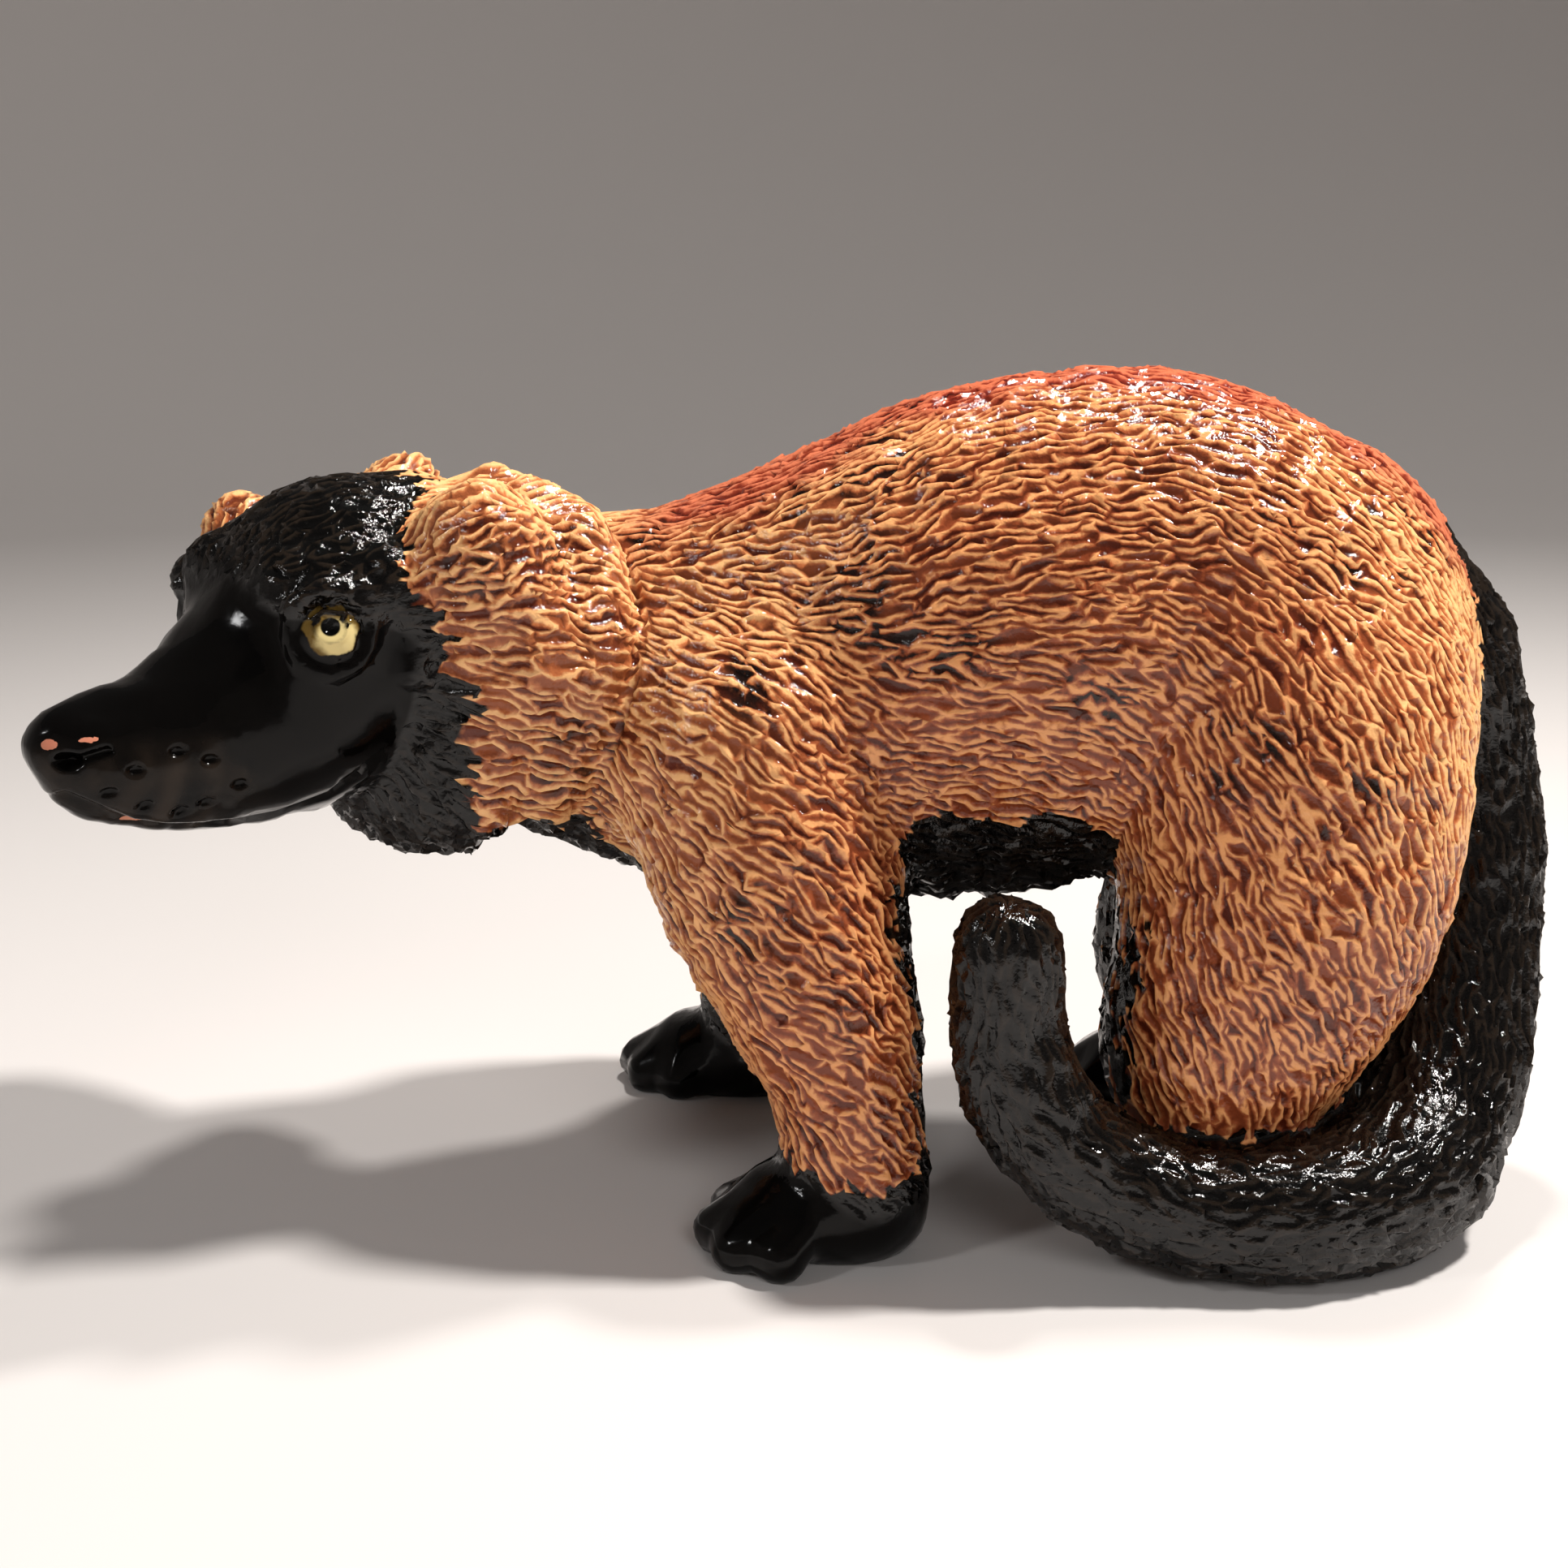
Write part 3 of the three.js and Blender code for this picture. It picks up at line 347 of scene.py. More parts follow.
def sample_field(low, high, step):
    count = np.ceil((high - low) / step).astype(int) + 1
    blocks = -(-count // BLOCK)
    padded = blocks * BLOCK
    start = np.argwhere(np.ones(blocks)) * BLOCK
    middle = field(low + step * (start + BLOCK / 2))
    near = np.abs(middle) < BLOCK_CLEARANCE * BLOCK * step
    values = np.empty(padded, np.float32)
    shaped = values.reshape(blocks[0], BLOCK, blocks[1], BLOCK, blocks[2], BLOCK)
    shaped[:] = middle.reshape(blocks)[:, None, :, None, :, None]
    inner = np.argwhere(np.ones((BLOCK,) * 3))
    nodes = (start[near][:, None, :] + inner[None]).reshape(-1, 3)
    values[tuple(nodes.T)] = field(low + step * nodes)
    return np.where(values < 0, np.minimum(values, -LEAST_VALUE), np.maximum(values, LEAST_VALUE))


def cell_signs(inside):
    signs = 0
    n = inside.shape
    for c, (i, j, k) in enumerate(CORNERS):
        signs = signs | inside[i:n[0] - 1 + i, j:n[1] - 1 + j, k:n[2] - 1 + k].astype(np.int16) << c
    return signs


def fill_creases(values):
    while True:
        bad = np.argwhere(~PLAIN_CELL[cell_signs(values < 0)])
        if not len(bad):
            return
        corner = bad[:, None, :] + CORNERS[None]
        found = values[tuple(np.moveaxis(corner, 2, 0))]
        least = np.where(found < 0, np.inf, found).argmin(1)
        values[tuple(corner[np.arange(len(bad)), least].T)] = FILLED


def mesh_surface(low, high, step):
    values = sample_field(low, high, step)
    fill_creases(values)
    inside = values < 0
    signs = cell_signs(inside)
    active = (signs > 0) & (signs < 255)
    number = np.full(active.shape, -1, np.int64)
    number[active] = np.arange(active.sum())
    cells = np.argwhere(active)
    place = np.zeros((len(cells), 3))
    crossings = np.zeros(len(cells))
    for a, b in CUBE_EDGES:
        va = values[tuple((cells + CORNERS[a]).T)]
        vb = values[tuple((cells + CORNERS[b]).T)]
        cut = (va < 0) != (vb < 0)
        t = np.where(cut, va / np.where(cut, va - vb, 1), 0)
        here = cells + CORNERS[a] + t[:, None] * (CORNERS[b] - CORNERS[a])
        place[cut] += here[cut]
        crossings[cut] += 1
    quads = []
    for axis in range(3):
        u, v = (axis + 1) % 3, (axis + 2) % 3
        ahead = np.eye(3, dtype=int)[axis]
        size = np.array(values.shape)
        first = inside[tuple(slice(0, n - a) for n, a in zip(size, ahead))]
        second = inside[tuple(slice(a, n) for n, a in zip(size, ahead))]
        edge = np.argwhere(first != second)
        across = edge[:, [u, v]]
        edge = edge[((across > 0) & (across < size[[u, v]] - 1)).all(1)]
        back_u, back_v = np.eye(3, dtype=int)[u], np.eye(3, dtype=int)[v]
        ring = [edge, edge - back_u, edge - back_u - back_v, edge - back_v]
        quad = np.stack([number[tuple(cell.T)] for cell in ring], 1)
        turn = ~inside[tuple(edge.T)]
        quad[turn] = quad[turn][:, ::-1]
        quads.append(quad)
    return low + step * place / crossings[:, None], np.concatenate(quads)


def to_object(name, places, faces):
    mesh = bpy.data.meshes.new(name)
    mesh.vertices.add(len(places))
    mesh.vertices.foreach_set("co", np.asarray(places, np.float32).ravel())
    mesh.loops.add(faces.size)
    mesh.loops.foreach_set("vertex_index", faces.astype(np.int32).ravel())
    mesh.polygons.add(len(faces))
    mesh.polygons.foreach_set("loop_start", np.arange(0, faces.size, faces.shape[1], dtype=np.int32))
    mesh.update(calc_edges=True)
    mesh.validate()
    thing = bpy.data.objects.new(name, mesh)
    bpy.context.scene.collection.objects.link(thing)
    return thing


def read_mesh(mesh):
    places = np.empty(len(mesh.vertices) * 3, np.float32)
    mesh.vertices.foreach_get("co", places)
    normals = np.empty(len(mesh.vertices) * 3, np.float32)
    mesh.vertex_normals.foreach_get("vector", normals)
    return places.reshape(-1, 3).astype(float), normals.reshape(-1, 3).astype(float)


def read_faces(mesh, corners):
    faces = np.empty(len(mesh.loops), np.int32)
    mesh.loops.foreach_get("vertex_index", faces)
    return faces.reshape(-1, corners)


def with_modifier(thing, kind, **settings):
    """A new mesh: thing's with one modifier applied."""
    modifier = thing.modifiers.new(kind, kind)
    for key, value in settings.items():
        setattr(modifier, key, value)
    seen = thing.evaluated_get(bpy.context.evaluated_depsgraph_get())
    made = bpy.data.meshes.new_from_object(seen)
    thing.modifiers.remove(modifier)
    return made


# Strokes: seeds strewn over the fur, each with the way its stroke runs and the stroke's size.

def near_pairs(a, b, reach):
    """Index pairs of points in a and b that lie within a few reaches, in nine batches."""
    low = np.minimum(a.min(0), b.min(0)) - 2 * reach
    cell_a = np.floor((a - low) / reach).astype(np.int64)
    cell_b = np.floor((b - low) / reach).astype(np.int64)
    key_b = (cell_b[:, 0] * 4096 + cell_b[:, 1]) * 4096 + cell_b[:, 2]
    order = np.argsort(key_b, kind="stable")
    key_b = key_b[order]
    for i in (-1, 0, 1):
        for j in (-1, 0, 1):
            key_a = ((cell_a[:, 0] + i) * 4096 + cell_a[:, 1] + j) * 4096 + cell_a[:, 2]
            first = np.searchsorted(key_b, key_a - 1, "left")
            count = np.searchsorted(key_b, key_a + 1, "right") - first
            owner = np.repeat(np.arange(len(a)), count)
            within = np.arange(count.sum()) - np.repeat(np.cumsum(count) - count, count)
            yield owner, order[np.repeat(first, count) + within]


def stroke_distance(seeds, i, p):
    gap = p - seeds["place"][i]
    along = np.einsum("ij,ij->i", gap, seeds["lay"][i])
    across = np.maximum(np.einsum("ij,ij->i", gap, gap) - along ** 2, 0)
    return np.sqrt((along / seeds["length"][i]) ** 2 + across / seeds["width"][i] ** 2), along


def strew(seeds, rank):
    """Keeps the seeds that lie clear of every kept seed of lower rank."""
    losers, winners = [], []
    for i, j in near_pairs(seeds["place"], seeds["place"], FUR_REACH):
        away, _ = stroke_distance(seeds, i, seeds["place"][j])
        close = (away < STROKE_CROWDING) & (rank[i] < rank[j])
        winners.append(i[close])
        losers.append(j[close])
    winners, losers = np.concatenate(winners), np.concatenate(losers)
    undecided = np.ones(len(rank), bool)
    kept = np.zeros(len(rank), bool)
    while undecided.any():
        live = undecided[winners] & undecided[losers]
        winners, losers = winners[live], losers[live]
        held = np.zeros(len(rank), bool)
        held[losers] = True
        fresh = undecided & ~held
        kept |= fresh
        undecided &= ~fresh
        undecided[losers[fresh[winners]]] = False
    return kept


def stroke_slope(seeds, i, p, distance):
    """How stroke distance changes with place."""
    gap = p - seeds["place"][i]
    along = np.einsum("ij,ij->i", gap, seeds["lay"][i])[:, None] * seeds["lay"][i]
    steep = along / seeds["length"][i][:, None] ** 2 + (gap - along) / seeds["width"][i][:, None] ** 2
    return steep / (distance[:, None] + 1e-6)


def two_nearest(seeds, places):
    """Each place's two nearest seeds, their stroke distances, and how far along the first stroke it lies."""
    nearest = np.full(len(places), -1)
    second = np.full(len(places), -1)
    f1 = np.full(len(places), FARTHEST_STROKE, np.float32)
    f2 = np.full(len(places), FARTHEST_STROKE, np.float32)
    length = np.zeros(len(places), np.float32)
    order = np.argsort(places[:, 0])
    for rows in np.array_split(order, max(1, len(order) // CHUNK)):
        here = places[rows]
        within = np.abs(seeds["place"][:, 0] - here[:, 0].mean()) < FUR_REACH + np.ptp(here[:, 0])
        numbers = np.flatnonzero(within)
        if not len(numbers):
            continue
        part = {key: value[numbers] for key, value in seeds.items()}
        found = []
        for i, j in near_pairs(part["place"], here, FUR_REACH):
            away, along = stroke_distance(part, i, here[j])
            close = away < FARTHEST_STROKE
            found.append((j[close], i[close], away[close], along[close] / part["length"][i[close]]))
        point, seed, away, run = (np.concatenate(column) for column in zip(*found))
        by_point = np.lexsort((away, point))
        point, seed, away, run = point[by_point], seed[by_point], away[by_point], run[by_point]
        first = np.flatnonzero(np.r_[True, point[1:] != point[:-1]])
        nearest[rows[point[first]]] = numbers[seed[first]]
        f1[rows[point[first]]] = away[first]
        length[rows[point[first]]] = run[first]
        again = first + 1
        again = again[again < len(point)]
        again = again[point[again] == point[again - 1]]
        f2[rows[point[again]]] = away[again]
        second[rows[point[again]]] = numbers[seed[again]]
    return nearest, second, f1, f2, length


# Which part of the body a place belongs to

PARTS = {"torso": torso, "neck": neck, "fore_left": forelegs[0], "fore_right": forelegs[1],
         "hind_left": hindlegs[0], "hind_right": hindlegs[1], "tail": tail, "face": face, "ruff": ruff,
         "ears": Blend([(ears[0], 0), (ears[1], 0.01)]),
         "paws": Blend([(paws[0], 0)] + [(paw, 0.01) for paw in paws[1:]])}


def part_distances(p):
    p = np.asarray(p, np.float32)
    split = np.array_split(p, max(1, len(p) // 60000))
    return {name: np.concatenate([shape.distance(part) for part in split]) for name, shape in PARTS.items()}


def lumps(p, scale, seed, waves=7):
    """Soft random waves between about -1 and 1, with crests about scale apart."""
    rng = np.random.default_rng(seed)
    total = np.zeros(len(p))
    for _ in range(waves):
        way = rng.normal(size=3)
        way /= np.linalg.norm(way)
        size = scale * rng.uniform(0.7, 1.5)
        total += np.sin(p @ way * (2 * math.pi / size) + rng.uniform(0, 2 * math.pi))
    return total / math.sqrt(waves)


# Stroke length, width and depth on each part
STROKES = {"torso": (5.8, 1.02, 0.85), "neck": (5.4, 1.05, 0.8), "fore_left": (5.0, 1.15, 0.8),
           "fore_right": (5.0, 1.15, 0.8), "hind_left": (5.2, 1.05, 0.75), "hind_right": (5.2, 1.05, 0.75),
           "tail": (5.0, 1.15, 0.95), "face": (2.6, 1.0, 0.65), "ruff": (7.0, 1.3, 1.1),
           "ears": (5.2, 1.2, 1.0), "paws": (4.0, 1.6, 0.3)}
LAY = {"fore_left": (0.8, -0.05, -0.6), "fore_right": (0.8, 0.05, -0.6),
       "hind_left": (0.5, 0, -0.85), "hind_right": (0.5, 0, -0.85)}
# How steeply the fur rises backwards along the trunk, near its top and low on the flank
TRUNK_PLACES = (-40, -20, -8, 8, 20, 35, 50, 65, 78)
TOP_RISE = (-0.2, -0.3, -0.1, 0.3, 0.4, 0.05, -0.25, -0.6, -1.0)
FLANK_RISE = (-0.25, -0.55, -0.5, -0.15, -0.05, -0.15, -0.4, -0.8, -1.1)
LAY_SOFTNESS = 4.0


def fur_direction(p, normal, distances):
    """The way the fur lies: back on the trunk, down and back on the legs, along the tail, out on the ruff."""
    nearest = np.minimum.reduce([distances[name] for name in PARTS])
    total = np.zeros((len(p), 3))
    for name, way in LAY.items():
        weight = np.exp((nearest - distances[name]) / LAY_SOFTNESS)
        total += weight[:, None] * np.array(way) / np.linalg.norm(way)
    high_up = smooth_step(64, 82, p[:, 2])
    rise = np.interp(p[:, 0], TRUNK_PLACES, TOP_RISE) * high_up
    rise += np.interp(p[:, 0], TRUNK_PLACES, FLANK_RISE) * (1 - high_up)
    trunk_way = np.stack([np.ones(len(p)), np.zeros(len(p)), rise], 1)
    trunk = np.minimum(distances["torso"], distances["neck"])
    trunk_length = np.linalg.norm(trunk_way, axis=1)[:, None]
    total += np.exp((nearest - trunk) / LAY_SOFTNESS)[:, None] * trunk_way / trunk_length
    _, bone = tail.distance(np.asarray(p, np.float32), with_bone=True)
    total += np.exp((nearest - distances["tail"]) / 1.5)[:, None] * tail.grain[bone] * 1.5
    f, s, u = head_place(p).T
    spread = np.hypot(s, u + 4) + 1e-6
    radial = (SIDEWAYS * (s / spread)[:, None]) + (UPWARD * ((u + 4) / spread)[:, None])
    ruff_way = 0.65 * radial - 0.75 * FORWARD
    collar = np.minimum(distances["ruff"], distances["ears"])
    total += np.exp((nearest - collar) / 2)[:, None] * ruff_way * 1.5
    total += np.exp((nearest - distances["face"]) / 2)[:, None] * -FORWARD
    total -= normal * np.einsum("ij,ij->i", total, normal)[:, None]
    return total / (np.linalg.norm(total, axis=1)[:, None] + 1e-9)


def fur_amount(p, distances):
    """1 on the fur, less on the crown, 0 on the smooth muzzle, cheeks, paws and soles."""
    f, s, u = head_place(p).T
    others = ("ruff", "ears", "neck", "torso", "fore_left", "fore_right")
    rest = np.minimum.reduce([distances[name] for name in others])
    on_face = smooth_step(1.0, -1.0, distances["face"] - rest)
    crown_height = u + 0.35 * np.maximum(0, -f - 4) + 0.25 * np.abs(s)
    crown = smooth_step(4.0, 6.0, crown_height) * smooth_step(6.5, 3.5, f)
    on_paw = smooth_step(2.5, 0.5, distances["paws"]) * smooth_step(13, 8.5, p[:, 2])
    off_ground = smooth_step(0.5, 2.0, p[:, 2])
    return ((1 - on_face) + on_face * crown) * (1 - on_paw) * off_ground


# Colour regions

# How far forward the tan reaches behind the black face, at heights above the eye line
MASK_HEIGHTS = (-26, -20, -14, -7, -2, 4, 11, 15, 19)
MASK_EDGE = (-17, -14, -13.5, -12.7, -11, -10, -12, -19, -21)

def darkness(p, normal, distances, sway):
    """Millimetres inside the black: face, chin, chest, belly, inner legs, paws, tail. Negative on tan."""
    x, y, z = p.T
    f, s, u = head_place(p).T
    trunk = np.minimum.reduce([distances[n] for n in ("torso", "neck", "hind_left", "hind_right")])
    fore = np.minimum(distances["fore_left"], distances["fore_right"])
    hind = np.minimum(distances["hind_left"], distances["hind_right"])
    collar = np.minimum(distances["ruff"], distances["ears"])
    head = np.minimum(distances["face"], collar)
    rest = np.minimum(trunk, fore)
    on_tail = rest - distances["tail"] + 0.6
    mask_edge = np.interp(u, MASK_HEIGHTS, MASK_EDGE)
    mask = np.minimum(f - mask_edge, 3 + rest - head)
    chin = np.minimum(-24.5 - u, 2 + rest - head)
    on_ear = distances["face"] - distances["ears"]
    mask = np.where((s > 8) & (u > -4), np.minimum(mask, 0.3 - on_ear), mask)
    mask = np.where((s < -8) & (u > 2), np.minimum(mask, 0.6 - on_ear), mask)
    belly_edge = np.minimum(53.5 - 0.028 * (x - 26) ** 2, 52)
    off_legs = np.minimum(fore, hind) + 1 - distances["torso"]
    belly = np.minimum.reduce([belly_edge - z, off_legs, 22 - np.abs(x - 28)])
    under = np.minimum.reduce([(-0.72 - normal[:, 2]) * 12, 60 - z, head - 2])
    leg = np.minimum(np.minimum(fore, hind), distances["torso"] + 2)
    facing_in = -0.25 - normal[:, 1] * np.sign(y)
    inward = np.minimum.reduce([facing_in * 8, 46 - z, distances["torso"] - leg + 1])
    facing_back = normal[:, 0] - np.interp(z, [20, 42], [0.93, 0.82])
    behind = np.minimum.reduce([facing_back * 8, 44 - z, hind - fore])
    recess = np.minimum(1.0 - heel.distance(p), distances["hind_left"] - 0.4)
    edges = np.minimum.reduce([(-normal[:, 0] - 0.88) * 8, 40 - z, fore - hind])
    paw_line = np.where(x < 30, 10 + 0.09 * np.abs(x - np.where(y < 0, 10, -1)) ** 1.5, 14)
    paw = np.minimum(paw_line - z, distances["tail"])
    dark = np.maximum.reduce([on_tail, mask, chin, belly, under, inward, behind, recess, edges, paw])
    return dark + 0.8 * sway


# Face marks in the head frame: pairs are forward and up, triples forward, sideways and up
MOUTH_LINE = [(26.5, -16.2), (20, -20.2), (12, -22.0), (4, -21.6), (-2, -20.0), (-4.5, -17.5)]
WHISKER_PITS = [(22.9, -15.8), (20.4, -13.6), (19.2, -17.8), (15.4, -19.1), (16.0, -12.0), (12.8, -13.2),
                (12.8, -18.3), (9.6, -16.4)]
NOSTRIL = (26.4, 4.3, -12.2)
NOSTRIL_SIZE = (2.0, 2.0, 1.3)
NOSTRIL_SLIT = [(26.4, -12.2), (22.8, -11.2)]
# Bare chips at the near nostril and the lip: place and size in the head frame
CHIPS = [((27.9, -3.0, -10.4), (0.8, 0.8, 0.6)), ((24.6, -5.4, -10.0), (1.5, 0.7, 0.28)),
         ((19.6, -4.6, -20.6), (3.2, 2.0, 0.4))]
# The head's skin lies at a lower x than this
HEAD_END = -30


# The figure's skin

def make_seeds(places, normals, distances, amount):
    """Strews the strokes over the fur, each with its lay, size and tone."""
    rng = np.random.default_rng(STROKE_SEED)
    chosen = rng.permutation(np.flatnonzero(amount > LEAST_FUR))[:SEED_CANDIDATES]
    own_distances = {name: value[chosen] for name, value in distances.items()}
    part = np.stack([own_distances[name] for name in STROKES]).argmin(0)
    length, width, depth = np.array(list(STROKES.values()))[part].T
    lay = fur_direction(places[chosen], normals[chosen], own_distances)
    sideways = np.cross(normals[chosen], lay)
    sway = 0.16 * lumps(places[chosen], 14, 3) + rng.normal(0, 0.10, len(chosen))
    lay = lay * np.cos(sway)[:, None] + sideways * np.sin(sway)[:, None]
    seeds = {
        "place": places[chosen], "lay": lay,
        "length": length * rng.uniform(0.75, 1.25, len(chosen)),
        "width": width * rng.uniform(0.85, 1.15, len(chosen)),
        "depth": depth * rng.uniform(0.75, 1.2, len(chosen)),
        "tone": rng.uniform(0, 1, len(chosen)),
    }
    edge_sway = rng.normal(0, 0.8, len(chosen))
    seeds["dark"] = darkness(places[chosen], normals[chosen], own_distances, edge_sway)
    kept = strew(seeds, rng.permutation(len(chosen)))
    return {key: value[kept] for key, value in seeds.items()}


def carve_strokes(seeds, places, normals, amount):
    """Each place's stroke (-1 for none), how far along it the place lies, and how hollow it is there."""
    wanted = np.flatnonzero(amount > LEAST_FUR)
    wave = [0.4 * lumps(places, 5.5, 31 + axis) + 0.13 * lumps(places, 2.0, 34 + axis) for axis in range(3)]
    warped = (places + np.stack(wave, 1))[wanted]
    nearest = np.full(len(places), -1)
    f1, f2, run, from_ridge, crossing = (np.zeros(len(places)) for _ in range(5))
    nearest[wanted], second, f1[wanted], f2[wanted], run[wanted] = two_nearest(seeds, warped)
    first = np.maximum(nearest[wanted], 0)
    steep = stroke_slope(seeds, np.maximum(second, 0), warped, f2[wanted])
    steep -= stroke_slope(seeds, first, warped, f1[wanted])
    steep -= normals[wanted] * np.einsum("ij,ij->i", steep, normals[wanted])[:, None]
    steepness = np.linalg.norm(steep, axis=1) + 1e-6
    from_ridge[wanted] = np.where(second >= 0, (f2 - f1)[wanted] / np.maximum(steepness, 0.3), 1.0)
    crossing[wanted] = np.abs(np.einsum("ij,ij->i", steep, seeds["lay"][first])) / steepness
    ridge_share = 1 - END_RIDGE_LOSS * crossing ** 3
    return nearest, run, 1 - ridge_share * np.exp(-from_ridge / RIDGE_WIDTH)


def fur_relief(places, distances, fur, stroke_depth, run, hollow):
    """Height of the carved fur, with the grooves behind the ruff and round the tops of the legs."""
    x, _, z = places.T
    depth = stroke_depth * (0.85 + 0.55 * run)
    lip = LIP_SHARE * stroke_depth * smooth_step(0.2, 0.6, run)
    ridge_rise = 1 + 0.35 * lumps(places, 6, 41)
    height = fur * (0.5 * stroke_depth * ridge_rise - depth * hollow + lip * (1 - 0.5 * hollow))
    collar = np.minimum(distances["ruff"], distances["ears"])
    trunk = np.minimum.reduce([distances[name] for name in ("neck", "torso", "fore_left", "fore_right")])
    collar_gap = np.abs(collar - trunk) + np.maximum(0, collar)
    height -= COLLAR_GROOVE * smooth_step(1.7, 0.2, collar_gap) * fur * smooth_step(45, 55, z)
    legs = ("fore_left", "fore_right", "hind_left", "hind_right")
    leg_gap = np.minimum.reduce([np.abs(distances[name] - distances["torso"]) + np.maximum(0, distances[name])
                                 for name in legs])
    haunch_front = smooth_step(28, 34, x) * smooth_step(50, 44, x)
    groove = (LEG_GROOVE + HAUNCH_GROOVE * haunch_front) * smooth_step(2.8, 0, leg_gap)
    height -= groove * smooth_step(38, 48, z) * smooth_step(78, 66, z)
    return height


def line_gap(f, u, line):
    """How far places lie from a line of points, seen from the head's side."""
    gap = np.full(len(f), 1e9)
    for (f0, u0), (f1, u1) in zip(line, line[1:]):
        length = math.hypot(f1 - f0, u1 - u0)
        t = np.clip(((f - f0) * (f1 - f0) + (u - u0) * (u1 - u0)) / length ** 2, 0, 1)
        gap = np.minimum(gap, np.hypot(f - f0 - t * (f1 - f0), u - u0 - t * (u1 - u0)))
    return gap


def face_relief(places, smooth_skin):
    """How deep the mouth, nostrils, whisker pits and pupils are cut, and where pits and nostrils are."""
    head = head_place(places)
    f, s, u = head.T
    cut = MOUTH_DEPTH * smooth_step(0.9, 0.0, line_gap(f, u, MOUTH_LINE)) * smooth_skin
    pits = np.zeros(len(f))
    for pit_f, pit_u in WHISKER_PITS:
        gap = np.hypot((f - pit_f) / 1.2, (u - pit_u) / 0.8)
        pit = smooth_step(1.0, 0.35, gap) * (np.abs(s) > 2)
        pits = np.maximum(pits, pit)
        cut += PIT_DEPTH * pit
    slit = line_gap(f, u, NOSTRIL_SLIT)
    for side, pupil in zip((-1, 1), pupils):
        centre = np.array(NOSTRIL) * (1, side, 1)
        nostril = np.linalg.norm((head - centre) / np.array(NOSTRIL_SIZE), axis=1)
        cut += NOSTRIL_DEPTH * smooth_step(1.0, 0.3, nostril)
        pits = np.maximum(pits, smooth_step(1.1, 0.8, nostril))
        cut += SLIT_DEPTH * smooth_step(0.8, 0.1, slit) * (s * side > 2)
        pits = np.maximum(pits, smooth_step(0.9, 0.6, slit) * (s * side > 2))
        gap = np.linalg.norm(places - pupil, axis=1)
        cut += PUPIL_DEPTH * smooth_step(PUPIL_RADIUS, 0.5 * PUPIL_RADIUS, gap)
        cut -= PUPIL_RIM * smooth_step(0.8, 0.0, np.abs(gap - 1.7 * PUPIL_RADIUS))
    return cut, pits


def muzzle_sheen_and_chips(places, pits):
    """A paler sheen on the lower muzzle, painted as a reflection of the floor, and the bare chips."""
    head = head_place(places)
    f, _, u = head.T
    # The paler lower muzzle is a painted reflection of the floor.
    lower_muzzle = smooth_step(-9.5, -14.5, u) * smooth_step(4, 14, f)
    painted_sheen = lower_muzzle * (1 - pits) * (0.6 + 0.4 * lumps(head, 4.5, 52))
    chip = np.zeros(len(f))
    for chip_place, chip_size in CHIPS:
        gap = np.linalg.norm((head - np.array(chip_place)) / np.array(chip_size), axis=1)
        chip = np.maximum(chip, smooth_step(1.15, 0.85, gap + 0.25 * lumps(head, 1.4, 53)) * (1 - pits))
    return painted_sheen, chip


def soft_waves(places, normals, amount):
    """The slight unevenness of the clay, and the tufts under the belly."""
    z = places[:, 2]
    skin = SKIN_WAVES * lumps(places, 7, 5) * (1 - amount) * smooth_step(0.5, 3, z)
    pelt = FUR_WAVES * lumps(places, 16, 6) * amount * smooth_step(1.0, 6, z)
    tufts = BELLY_TUFTS * lumps(places, 3.4, 12) * amount * smooth_step(-0.3, -0.8, normals[:, 2])
    return skin, pelt, tufts * smooth_step(30, 36, z)


def thin_skin(carved, faces, places, normals, amount):
    """Collapses edges down to FINAL_TRIANGLES: none at the eyes and muzzle, fewer on the fur in view."""
    dense = to_object("dense", carved, faces)
    group = dense.vertex_groups.new(name="free")
    eye_gap = np.minimum.reduce([np.linalg.norm(places - centre, axis=1) for centre in eye_centres])
    f, _, u = head_place(places).T
    on_muzzle = (places[:, 0] < HEAD_END) & (f > 9) & (u < -9)
    may_thin = (eye_gap > EYE_RADIUS + EYE_MARGIN) & ~on_muzzle
    kept_fur = (amount > 0.5) & (normals[:, 1] < 0.3)
    group.add(np.flatnonzero(may_thin & ~kept_fur).tolist(), 1.0, "REPLACE")
    group.add(np.flatnonzero(may_thin & kept_fur).tolist(), FUR_FREEDOM, "REPLACE")
    ratio = FINAL_TRIANGLES / (2 * len(faces))
    thinned = with_modifier(dense, "DECIMATE", ratio=ratio, use_collapse_triangulate=True,
                            vertex_group="free", vertex_group_factor=1.0)
    bpy.data.objects.remove(dense)
    return thinned


